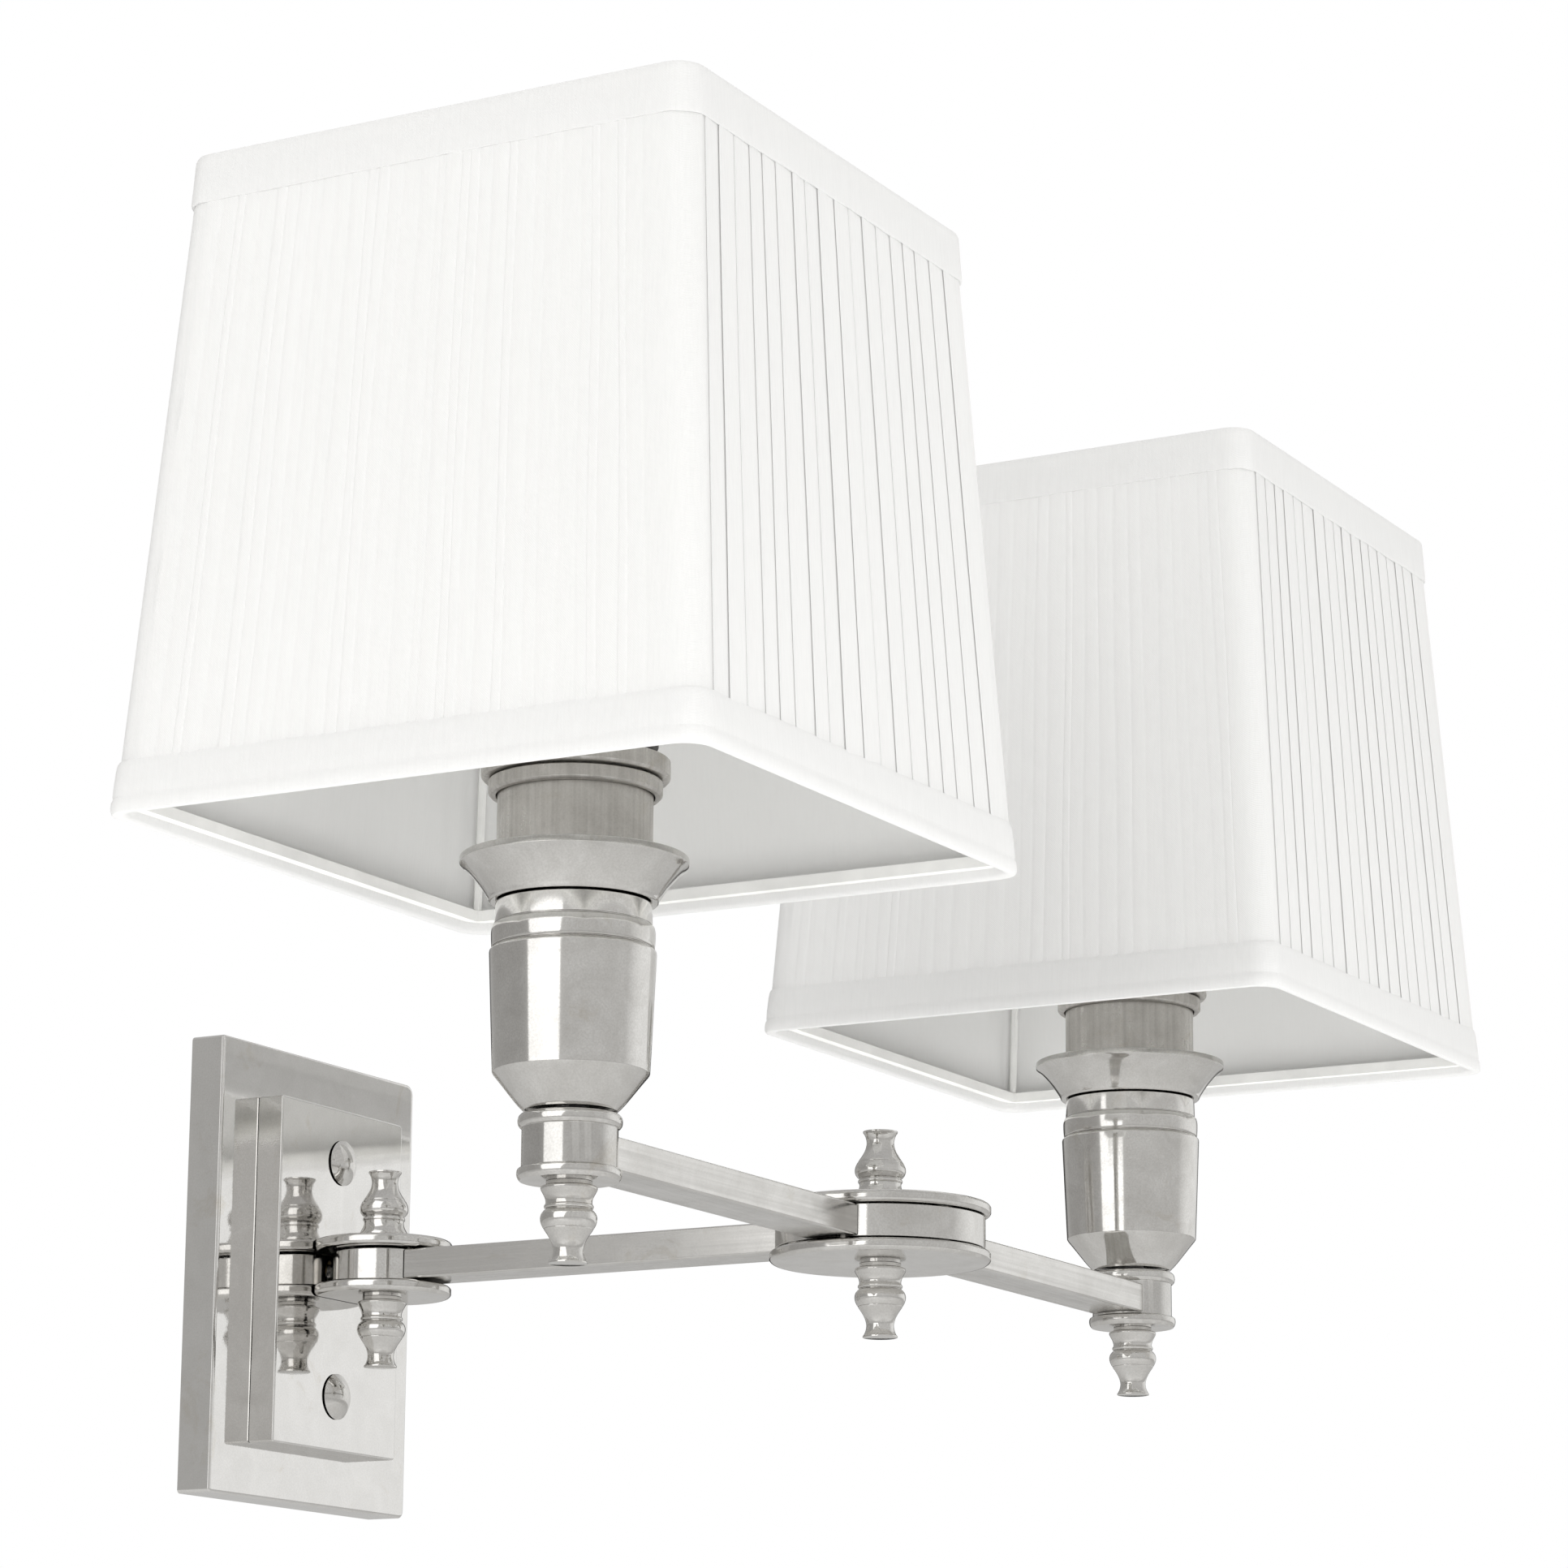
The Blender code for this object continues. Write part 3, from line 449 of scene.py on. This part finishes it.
def screw(node):
    """Domed screw with a fine rim, its axis along -Y."""
    low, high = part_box(node)
    radius, centre = (high.x - low.x) / 2 / MM, (low + high) / 2
    length = (high.y - low.y) / MM
    rise = SCREW_RISE
    ball = (radius ** 2 + rise ** 2) / (2 * rise)
    spread = math.degrees(math.asin(radius / ball))
    dome = arc((0.0, -ball), ball, 90, 90 - spread, 14)
    outline = ([(0.0, 0.0)] + dome[1:-1]
               + [(radius - 0.05, -rise + 0.06), (radius, -rise), (SCREW_SHANK, -rise)]
               + [(SCREW_SHANK, -length), (0.0, -length)])
    mesh = spun(outline, (0.0, 0.0), 0.0, 72)
    bmesh.ops.rotate(mesh, matrix=Matrix.Rotation(math.pi / 2, 3, "X"), verts=mesh.verts)
    bmesh.ops.translate(mesh, vec=(centre.x, low.y, centre.z), verts=mesh.verts)
    place_piece(node + "_dome", mesh, node, "nickel")


# ---------------------------------------------------------------- knuckles and bars

FINIAL = ([(4.2, 0.0), (4.2, 0.75)]
          + flow([(4.75, 0.78), (5.1, 1.0), (5.15, 1.4), (4.9, 1.95), (4.45, 2.8), (4.22, 3.6), (4.25, 4.2)])
          + flow([(4.38, 4.24), (4.5, 4.55), (4.4, 4.9)], 4) + [(4.12, 5.0), (4.12, 5.12)]
          + flow([(4.5, 5.3), (4.98, 5.95), (5.15, 6.75), (5.0, 7.6), (4.62, 8.4)])
          + [(4.44, 8.5), (4.46, 8.62)]
          + flow([(4.3, 8.9), (3.72, 9.75), (3.15, 10.8), (2.82, 11.9), (2.78, 12.7), (2.98, 13.6),
                  (3.3, 14.3)])
          + [(3.5, 14.5), (3.5, 14.8)])
FINIAL_TIP = FINIAL[-1][1]
SOCKET_BORE, SOCKET_DEPTH = 3.2, 5.0
FIXED_BORE, RUNNING_BORE = 3.2, 3.0
BOSS_HUB, BOSS_WALL, BOSS_FLOOR = 5.2, 2.0, -2.0
DRUM_WALL, MIDDLE_SLOT = 2.6, 29.0
SEAT_GAP = 0.3
BAR_SLOT, BAR_EDGE = (7.0, 3.4), 0.45


def finial(node, axis):
    """Turned knob; it hangs when its node lies below the arm level."""
    low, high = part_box(node)
    way = 1 if (low + high).z / 2 > ARM_LEVEL else -1
    face = ((low.z if way > 0 else high.z) - ARM_LEVEL) / MM
    outline = [(0.0, SOCKET_DEPTH), (SOCKET_BORE, SOCKET_DEPTH), (SOCKET_BORE, 0.0)] + FINIAL
    outline.append((0.0, FINIAL_TIP))
    turned(node + "_turned", [(r, face + way * h) for r, h in outline], node, axis, corner=0.06, segments=96)


def bullnose(node, axis, trim=None):
    """Round cheek with a rolled rim; trim is the y that its back is cut at."""
    low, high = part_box(node)
    radius = (high.x - low.x) / 2 / MM
    bottom, top = (low.z - ARM_LEVEL) / MM, (high.z - ARM_LEVEL) / MM
    half = (top - bottom) / 2
    outline = arc((radius - half * 0.9, (top + bottom) / 2), half, 90, -90, 14)
    outline = [(min(r, radius), h) for r, h in outline] + [(FIXED_BORE, bottom), (FIXED_BORE, top)]
    mesh = spun(outline, axis, segments=168)
    if trim is not None:
        geometry = list(mesh.verts) + list(mesh.edges) + list(mesh.faces)
        cut = bmesh.ops.bisect_plane(mesh, geom=geometry, plane_co=(0, trim, 0), plane_no=(0, 1, 0),
                                     clear_outer=True)
        edges = [part for part in cut["geom_cut"] if isinstance(part, bmesh.types.BMEdge)]
        bmesh.ops.contextual_create(mesh, geom=edges)
    place_piece(node + "_rolled", mesh, node, "nickel")


def bar(node, material, start, start_radius, end, end_radius):
    """Flat tube between two round seats; start and end are axes, radii in millimetres."""
    low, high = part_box(node)
    height = (high.z - low.z) / MM
    along = (Vector(end) - Vector(start)).normalized()
    across = Vector((-along.y, along.x))
    width = (high.x - low.x if abs(along.y) > 0.5 else high.y - low.y) / MM
    length = (Vector(end) - Vector(start)).length / MM

    def ring(outline, share):
        points = []
        for offset, rise in outline:
            first = math.sqrt(start_radius ** 2 - offset ** 2)
            last = length - math.sqrt(end_radius ** 2 - offset ** 2)
            place = Vector(start) + (along * (first + (last - first) * share) + across * offset) * MM
            points.append((place.x, place.y, ARM_LEVEL + rise * MM))
        return points

    outside, inside = rounded(width, height, BAR_EDGE, 4), rounded(*BAR_SLOT, 0.4, 4)
    shares = [i / 24 for i in range(25)]
    rings = [ring(outside, s) for s in shares] + [ring(inside, s) for s in reversed(shares)]
    return place_piece(node + "_tube", skin(rings, closed=True), node, material)


def knuckles():
    block_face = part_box("raised_block")[0].y - SEAT_GAP * MM
    for node in ("wall_disc_upper", "wall_disc_lower"):
        bullnose(node, WALL_AXIS, block_face)
    for node in ("middle_disc_upper", "middle_disc_lower"):
        bullnose(node, MIDDLE_AXIS)
    for node, axis in (("wall_finial_top", WALL_AXIS), ("wall_finial_bottom", WALL_AXIS),
                       ("middle_finial_top", MIDDLE_AXIS), ("middle_finial_bottom", MIDDLE_AXIS)):
        finial(node, axis)
    half = size_of("wall_boss").z / 2
    radius = size_of("wall_boss").x / 2
    room = radius - BOSS_WALL
    outline = [(radius, half), (radius, -half), (RUNNING_BORE, -half), (RUNNING_BORE, half), (BOSS_HUB, half),
               (BOSS_HUB, BOSS_FLOOR), (room, BOSS_FLOOR), (room, half)]
    boss = turned("wall_boss_turned", outline, "wall_boss", WALL_AXIS)
    for width, first, last in ((3.0, -14.0, -7.0), (3.4, 7.0, 14.0)):
        carve(boss, (-width * MM, WALL_AXIS[1] + first * MM, ARM_LEVEL - 1.4 * MM),
              (width * MM, WALL_AXIS[1] + last * MM, ARM_LEVEL + 1.4 * MM))
    eye_radius, eye_half = size_of("arm_eye").x / 2, size_of("arm_eye").z / 2
    outline = [(eye_radius, eye_half), (eye_radius, -eye_half), (RUNNING_BORE, -eye_half),
               (RUNNING_BORE, eye_half)]
    turned("arm_eye_turned", outline, "arm_eye", MIDDLE_AXIS)
    bar("wall_arm", "bar_y", WALL_AXIS, radius + SEAT_GAP, MIDDLE_AXIS, eye_radius + SEAT_GAP)

    drum_radius, drum_half = size_of("middle_drum").x / 2, size_of("middle_drum").z / 2
    inner = drum_radius - DRUM_WALL
    outline = soften([(drum_radius, drum_half), (drum_radius, -drum_half), (inner, -drum_half),
                      (inner, drum_half)], 0.14)
    mesh = spun(outline, MIDDLE_AXIS, segments=144, sweep=360 - 2 * MIDDLE_SLOT, start=90 + MIDDLE_SLOT)
    drum = place_piece("middle_drum_turned", mesh, "middle_drum", "nickel")
    carve(drum, (-0.025, MIDDLE_AXIS[1] - 0.003, ARM_LEVEL - 0.0015),
          (0.025, MIDDLE_AXIS[1] + 0.003, ARM_LEVEL + 0.0015))
    for side, axis in LAMP_AXIS.items():
        bar("crossbar_" + side, "bar_x", MIDDLE_AXIS, drum_radius + SEAT_GAP, axis, LAMP_NECK + SEAT_GAP)


# ---------------------------------------------------------------- lamps

LAMP_NECK = 8.75
UPPER_RING = flow([(8.0, 6.6), (8.75, 6.45), (9.3, 5.95), (9.5, 5.25), (9.42, 4.5), (9.1, 4.02)], 4)
LOWER_RING = flow([(9.1, -3.45), (9.45, -3.75), (9.55, -4.4), (9.42, -5.1), (9.0, -5.7)], 4)
CUP = ([(8.4, 7.0)] + flow([(8.55, 7.05), (9.9, 8.45), (11.4, 10.3), (12.9, 12.2), (14.05, 13.6)], 3)
       + [(14.3, 14.0)] + flow([(14.42, 16.5), (14.75, 24.0), (15.0, 30.0), (15.25, 35.9)], 4)
       + [(15.2, 36.3), (14.75, 36.75), (14.55, 36.8), (14.55, 36.95), (14.8, 37.0)]
       + flow([(14.85, 37.1), (14.95, 38.6), (14.95, 40.0), (14.75, 40.9)], 3)
       + [(14.25, 41.1), (14.25, 41.28), (14.4, 41.3), (14.3, 45.1)])
CUP_INSIDE = [(13.0, 45.1), (12.9, 36.0), (13.0, 14.6), (7.8, 8.3), (FIXED_BORE, 8.3), (FIXED_BORE, 7.0)]
RING_BORE, NUT_BORE = 14.6, 12.6
INSERT_BORE, THREAD_TOP, THREAD_PITCH = 12.3, 80.9, 1.1
DRUM_ROOM_RADIUS, DRUM_ROOM = 6.5, 2.4
PAN = ([(14.9, 45.4), (15.25, 45.4)]
       + flow([(15.5, 45.7), (15.75, 46.3), (16.35, 47.3), (17.3, 48.7), (18.6, 50.3), (19.8, 51.55),
               (20.7, 52.25)], 4)
       + [(20.95, 52.45), (21.0, 52.6), (21.0, 53.6), (20.9, 53.7), (19.9, 53.7)]
       + flow([(19.7, 53.4), (18.0, 51.6), (16.6, 49.8), (15.3, 47.7)], 3)
       + [(14.9, 46.9), (FIXED_BORE, 46.9), (FIXED_BORE, 45.4)])


def machined_ring(radius, bore, low, high):
    """Machined ring with a bevelled lower edge and a fine upper one."""
    return [(radius - 0.15, high), (radius, high - 0.15), (radius, low + 0.55), (radius - 0.5, low),
            (bore, low), (bore, high)]


def lamp(side):
    axis = LAMP_AXIS[side]

    def heights(node):
        low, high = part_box(node + "_" + side)
        return (low.z - ARM_LEVEL) / MM, (high.z - ARM_LEVEL) / MM, (high.x - low.x) / 2 / MM

    low, high, _ = heights("lamp_drum")
    hollow = [(FIXED_BORE, low), (FIXED_BORE, -DRUM_ROOM), (DRUM_ROOM_RADIUS, -DRUM_ROOM),
              (DRUM_ROOM_RADIUS, DRUM_ROOM), (FIXED_BORE, DRUM_ROOM), (FIXED_BORE, high)]
    outline = UPPER_RING + [(LAMP_NECK, 3.9), (LAMP_NECK, -3.38)] + LOWER_RING + hollow
    drum = turned("lamp_drum_turned_" + side, outline, "lamp_drum_" + side, axis, corner=0.1)
    inward = 1 if axis[0] < 0 else -1
    ends = sorted((axis[0] + inward * 0.0045, axis[0] + inward * 0.011))
    carve(drum, (ends[0], axis[1] - 0.003, ARM_LEVEL - 0.0015),
          (ends[1], axis[1] + 0.003, ARM_LEVEL + 0.0015))
    finial("lamp_finial_" + side, axis)
    turned("lamp_cup_turned_" + side, CUP + CUP_INSIDE, "lamp_cup_" + side, axis, corner=0.12, segments=192)
    turned("drip_pan_turned_" + side, PAN, "drip_pan_" + side, axis, corner=0.12, segments=192)

    base, top, radius = heights("holder_shell")
    outline = [(radius, top), (radius, base), (FIXED_BORE, base), (FIXED_BORE, base + 1.2),
               (radius - 1, base + 1.2), (radius - 1, top)]
    turned("holder_shell_turned_" + side, outline, "holder_shell_" + side, axis, "satin_nickel", segments=168)
    for node, finish in (("shade_ring_lower", "satin_nickel"), ("shade_ring_upper", "satin_nickel"),
                         ("shade_nut", "black_plastic")):
        base, top, radius = heights(node)
        bore = RING_BORE if finish == "satin_nickel" else NUT_BORE
        turned(node + "_turned_" + side, machined_ring(radius, bore, base, top), node + "_" + side, axis,
               finish, segments=168)
    base, top, collar = heights("holder_insert")
    thread = []
    for turn in range(2):
        z = THREAD_TOP - turn * THREAD_PITCH
        thread += [(INSERT_BORE, z), (12.12, z - 0.3), (12.12, z - 0.5), (INSERT_BORE, z - 0.8)]
    outline = ([(INSERT_BORE, top)] + thread
               + [(INSERT_BORE, 76.3), (collar, 76.3), (collar, 74.7), (INSERT_BORE, 74.7)]
               + [(INSERT_BORE, base), (0.0, base), (0.0, 56.7), (2.0, 56.7), (2.0, 53.7), (7.4, 53.7)]
               + [(7.4, top)])
    turned("holder_insert_moulded_" + side, outline, "holder_insert_" + side, axis, "black_plastic")


# ---------------------------------------------------------------- shades

BOTTOM, TOP = 56.0, 181.0
BOTTOM_WIDTH = size_of("shade_left").x
TOP_WIDTH = BOTTOM_WIDTH - 16.0
CORNER = 5.0
BAND = 9.6
CLOTH_INSET, LINING_INSET = 0.8, 1.5
CLOTH_LAP, LINING_LAP = 4.0, 1.2
PLEATS, GATHERS = 18, 34
CORNER_STEPS = 7


def width_at(height):
    return BOTTOM_WIDTH + (TOP_WIDTH - BOTTOM_WIDTH) * (height - BOTTOM) / (TOP - BOTTOM)


def wander(seed, count, amount):
    """Repeatable small numbers between -amount and amount."""
    return (np.random.default_rng(seed).random(count) - 0.5) * 2 * amount


def knife_pleats(count, seed, uneven):
    """Profile of one face as (share across, depth, painted fold shade) points. Each strip starts with a fold
    that lies over the end of the strip before it, and sinks towards its own far end."""
    steps = 1.0 + wander(seed, count, uneven)
    edges = np.concatenate([[0], np.cumsum(steps)]) / steps.sum()
    lift = 0.56 + wander(seed + 1, count, 0.08)
    hidden = 1.0 / count
    profile = []
    for i in range(count):
        a, w, top = edges[i], edges[i + 1] - edges[i], lift[i]
        # The third value is painted shade for the cloth tucked under each fold.
        under = [(0.03, 0.25, 0.7), (0.065, 0.24, 1.0), (0.075, 0.27, 1.0), (0.065, 0.30, 1.0),
                 (0.03, 0.31, 0.6)]
        edge = [(0.0, top - 0.22, 0.2), (-0.015, top - 0.13, 0.0), (0.004, top - 0.04, 0.0)]
        profile += [(a + hidden * u, d, t) for u, d, t in under + edge]
        profile += [(a + w * u, top - 0.28 * u ** 1.3, 0.0) for u in (0.06, 0.2, 0.45, 0.7, 0.88)]
        profile.append((a + w * 0.97, top - 0.29, 0.1))
    return profile


def soft_gathers(count, seed):
    """Profile of a side where the cloth is gathered finely and irregularly."""
    steps = 1.0 + wander(seed, count, 0.5)
    edges = np.concatenate([[0], np.cumsum(steps)]) / steps.sum()
    height = 0.10 + wander(seed + 1, count, 0.06)
    profile = []
    for i in range(count):
        a, w = edges[i], edges[i + 1] - edges[i]
        for t in (0.0, 0.08, 0.25, 0.5, 0.75, 0.92):
            round_off = 1 - (2 * t - 1) ** 6
            # The third value is painted shade in the hollows between gathers.
            profile.append((a + w * t, 0.44 + height[i] * round_off, 0.06 * (1 - round_off) ** 2))
    return profile


def shade_point(side, share, depth, height, grow=0.0):
    """A point on a shade's face: side 0 to 3 starts at -Y and goes anticlockwise."""
    half = width_at(height) / 2 + grow
    straight = half - CORNER
    x = -straight + 2 * straight * share
    y = -(half + depth)
    for _ in range(side):
        x, y = -y, x
    return x, y


def corner_points(side, height, grow, depth):
    """The rounded corner after a side."""
    half = width_at(height) / 2 + grow
    out = []
    for i in range(1, CORNER_STEPS):
        turn = math.radians(-90 + 90 * i / CORNER_STEPS)
        x = half - CORNER + (CORNER + depth) * math.cos(turn)
        y = -(half - CORNER) + (CORNER + depth) * math.sin(turn)
        for _ in range(side):
            x, y = -y, x
        out.append((x, y))
    return out


def shade_loop(profiles, height, grow, plain=0.0, drift=None):
    """One level round the shade; profiles holds each face's points, or is None for a plain loop."""
    points = []
    for side in range(4):
        profile = profiles[side] if profiles else [(i / 24, 0.0) for i in range(25)]
        for k, (share, depth, *_) in enumerate(profile):
            moved = share + (drift[side][k] if drift else 0.0)
            points.append(shade_point(side, min(max(moved, 0.0), 1.02), plain + depth, height, grow))
        points += corner_points(side, height, grow, plain + (0.5 if profiles else 0.0))
    return points


def level_ring(points, axis, height):
    return [(axis[0] + x * MM, axis[1] + y * MM, ARM_LEVEL + height * MM) for x, y in points]


def pleated_cloth(side, axis, seed):
    """The outer cloth: knife pleats on the two faces that look along Y, fine gathers on the others."""
    profiles = [knife_pleats(PLEATS, seed, 0.16), soft_gathers(GATHERS, seed + 10),
                knife_pleats(PLEATS, seed + 20, 0.16), soft_gathers(GATHERS, seed + 30)]
    slow = [np.interp([p[0] for p in profile], np.linspace(0, 1, 19), wander(seed + 60 + s, 19, math.pi))
            for s, profile in enumerate(profiles)]
    rows = 20
    rings = []
    for row in range(rows + 1):
        share = row / rows
        height = BOTTOM + CLOTH_LAP + (TOP - BOTTOM - 2 * CLOTH_LAP) * share
        sway = math.sin(math.pi * share)
        drift = [[(0.0014 if s % 2 == 0 else 0.003) * sway * math.sin(share * 5.1 + a) for a in slow[s]]
                 for s in range(4)]
        rings.append(level_ring(shade_loop(profiles, height, -CLOTH_INSET, 0.0, drift), axis, height))
    # Painted fold shade for each point of the loop, none round the corners.
    fold_shade_values = []
    for profile in profiles:
        fold_shade_values += [point[2] for point in profile] + [0.0] * len(corner_points(0, BOTTOM, 0.0, 0.0))
    mesh = skin(rings, caps=False)
    layer = mesh.verts.layers.float.new("painted_fold_shade")
    for vert, value in zip(mesh.verts, fold_shade_values * len(rings)):
        vert[layer] = value
    return place_piece("shade_pleats_" + side, mesh, "shade_" + side, "pleated_cloth", weight=False)


def band(side, axis, name, edge, way, seed):
    """Binding tape folded over an edge of the shade; way is 1 at the top and -1 at the bottom."""
    inner = [(-2.1, 4.8), (-2.15, 3.6), (-2.1, 1.6), (-2.0, 0.6), (-1.55, 0.05), (-0.8, -0.12), (-0.15, 0.1)]
    if way > 0:
        outer = [(0.06, 0.7), (0.08, 1.8), (0.04, 4.0), (0.0, BAND - 0.6), (-0.08, BAND - 0.1), (-0.2, BAND),
                 (-0.45, BAND - 0.1)]
    else:
        outer = [(0.08, 0.6), (0.16, 1.4), (0.12, 2.3), (-0.08, 2.9), (0.04, 3.3), (0.06, 5.0),
                 (0.0, BAND - 1.4), (-0.1, BAND - 0.5), (-0.26, BAND), (-0.5, BAND + 0.1)]
    section = inner + outer
    pucker = wander(seed, 96, 1.0)
    rings = []
    for grow, drop in section:
        height = edge - way * drop
        loop = shade_loop(None, height, grow)
        count = len(loop)
        amount = np.interp(np.arange(count) / count * 96, np.arange(96), pucker)
        amount = amount * (0.1 if grow > -0.2 else 0.04) * min(1.0, max(0.0, drop / 3.0))
        wave = np.interp(np.arange(count) / count * 96, np.arange(96), np.roll(pucker, 31)) * 0.12
        shifted = []
        for (x, y), a in zip(loop, amount):
            length = math.hypot(x, y)
            shifted.append((x * (1 + a / length), y * (1 + a / length)))
        rise = [w if drop > BAND - 1.0 else 0.0 for w in wave]
        rings.append([(axis[0] + x * MM, axis[1] + y * MM, ARM_LEVEL + (height + r) * MM)
                      for (x, y), r in zip(shifted, rise)])
    piece = place_piece(name + side, skin(rings, caps=False), None, "binding", body=BODY_OF["shade_" + side],
                        weight=False)
    return piece


def lining(side, axis, seed):
    """Thin lining inside the shade, with faint upright wrinkles."""
    rings = []
    wrinkle = wander(seed, len(shade_loop(None, BOTTOM, 0.0)), 1.0)
    for row in range(19):
        height = BOTTOM + LINING_LAP + (TOP - BOTTOM - 2 * LINING_LAP) * row / 18
        loop = shade_loop(None, height, -LINING_INSET)
        points = []
        for (x, y), w in zip(loop, wrinkle):
            length = math.hypot(x, y)
            pull = w * 0.22 * math.sin(math.pi * (row + 1) / 20)
            points.append((x * (1 + pull / length), y * (1 + pull / length)))
        rings.append(level_ring(points, axis, height))
    piece = place_piece("shade_lining_" + side, skin(rings, caps=False), None, "lining",
                        body=BODY_OF["shade_" + side], weight=False)
    return piece


def shade(side, seed):
    axis = LAMP_AXIS[side]
    outer = pleated_cloth(side, axis, seed)
    inner = lining(side, axis, seed + 80)
    top = band(side, axis, "shade_binding_top_", TOP, 1, seed + 90)
    bottom = band(side, axis, "shade_binding_bottom_", BOTTOM, -1, seed + 95)


# ---------------------------------------------------------------- carried-over nodes

def finish_carried_nodes():
    """Materials for the nodes that keep their own shapes."""
    for name, piece in NODES.items():
        if piece.hide_render:
            continue
        piece.data.materials.clear()
        piece.data.materials.append(MATERIALS[SLOT_OF[name]])


# ---------------------------------------------------------------- camera, light, floor

def camera():
    """Placed for the framing seen from low on the left, looking up along the wall side."""
    place = Vector((-0.86367, -0.59922, -0.13650))
    yaw, pitch, roll = math.radians(61.07), math.radians(13.31), math.radians(0.36)
    forward = Vector((math.sin(yaw) * math.cos(pitch), math.cos(yaw) * math.cos(pitch), math.sin(pitch)))
    right = Vector((math.cos(yaw), -math.sin(yaw), 0.0))
    up = right.cross(forward)
    across = right * math.cos(roll) + up * math.sin(roll)
    above = -right * math.sin(roll) + up * math.cos(roll)
    data = bpy.data.cameras.new("camera")
    data.sensor_width, data.lens = 36.0, 112.14
    data.clip_start, data.clip_end = 0.05, 50.0
    eye = bpy.data.objects.new("camera", data)
    bpy.context.scene.collection.objects.link(eye)
    turn = Matrix((across, above, -forward)).transposed()
    eye.matrix_world = Matrix.Translation(place) @ turn.to_4x4()
    bpy.context.scene.camera = eye


def softbox(name, place, target, size, radiance, mirrored=True):
    """Rectangular area light that faces a target; mirrored ones show in the metal."""
    data = bpy.data.lights.new(name, "AREA")
    data.shape, data.size, data.size_y = "RECTANGLE", size[0], size[1]
    data.energy = radiance * math.pi * size[0] * size[1]
    lamp_object = bpy.data.objects.new(name, data)
    bpy.context.scene.collection.objects.link(lamp_object)
    place, target = Vector(place), Vector(target)
    lamp_object.location = place
    lamp_object.rotation_euler = (target - place).to_track_quat("-Z", "Y").to_euler()
    lamp_object.visible_glossy = mirrored
    lamp_object.visible_camera = False


def surroundings():
    """Pale studio: even grey walls, a bright side and a dark opening behind the lamp. The camera sees plain
    white instead, and scattered light gets a little more than mirrors do."""
    world = bpy.data.worlds.new("studio")
    bpy.context.scene.world = world
    world.use_nodes = True
    tree = world.node_tree
    tree.nodes.clear()
    nodes = Nodes(tree)
    way = nodes.add("TexCoord").outputs["Generated"]

    def toward(direction, inner, outer):
        """1 within inner degrees of a direction, falling to 0 at outer degrees."""
        unit = Vector(direction).normalized()
        dot = nodes.add("VectorMath", {0: way, 1: tuple(unit)}, operation="DOT_PRODUCT").outputs["Value"]
        return nodes.ramp(dot, math.cos(math.radians(outer)), math.cos(math.radians(inner)))

    tone = (0.62, 0.615, 0.605)
    colour = nodes.mix(toward((0.9, -0.43, 0.1), 12, 40), tone, (0.95, 0.95, 0.94))
    colour = nodes.mix(toward((-0.2, 0.95, 0.2), 30, 75), colour, (0.40, 0.395, 0.385))
    colour = nodes.mix(toward((0.0, 0.0, 1.0), 20, 60), colour, (0.55, 0.545, 0.54))
    colour = nodes.mix(toward((0.852, 0.471, 0.15), 14, 26), colour, (0.05, 0.048, 0.045))
    path = nodes.add("LightPath")
    colour = nodes.mix(path.outputs["Is Camera Ray"], colour, (1.0, 1.0, 1.0))
    strength = nodes.ramp(path.outputs["Is Diffuse Ray"], 0.0, 1.0, 1.0, 1.4)
    back = nodes.add("Background", {"Color": colour, "Strength": strength})
    out = nodes.add("OutputWorld")
    tree.links.new(back.outputs[0], out.inputs["Surface"])


def floor():
    """Pale floor well below the lamp."""
    made, nodes, shader = new_material("pale_floor")
    tone = nodes.mix(nodes.ramp(nodes.noise(6.0, 3.0), 0.35, 0.7), (0.72, 0.72, 0.715), (0.70, 0.70, 0.695))
    join(nodes, shader, Base_Color=tone)
    shader.inputs["Roughness"].default_value = 0.85
    mesh = bmesh.new()
    bmesh.ops.create_grid(mesh, x_segments=8, y_segments=8, size=6.0)
    bmesh.ops.translate(mesh, vec=(0, 0, -0.42), verts=mesh.verts)
    data = bpy.data.meshes.new("studio_floor")
    mesh.to_mesh(data)
    mesh.free()
    data.materials.append(made)
    ground = bpy.data.objects.new("studio_floor", data)
    bpy.context.scene.collection.objects.link(ground)


def lights():
    heart = (0.0, -0.13, 0.06)
    softbox("key", (-1.05, 0.02, 0.50), (-0.05, -0.10, 0.05), (0.95, 1.5), 1.0)
    softbox("side_fill", (-1.4, -0.3, 0.3), heart, (1.2, 1.2), 0.3, mirrored=False)
    softbox("front_fill", (0.35, -1.6, 0.5), heart, (1.6, 1.6), 0.68, mirrored=False)
    softbox("low_fill", (-0.5, -0.8, -0.38), heart, (1.4, 1.4), 0.7, mirrored=False)
    softbox("under_fill", (-0.1, -0.25, -0.40), (-0.1, -0.25, 0.0), (1.2, 1.2), 1.1, mirrored=False)


camera()
surroundings()
floor()
lights()
wall_plate()
knuckles()
for which in LAMP_AXIS:
    lamp(which)
shade("left", 11)
shade("right", 211)
finish_carried_nodes()
bpy.context.scene.view_settings.view_transform = "Standard"

bpy.context.view_layer.update()
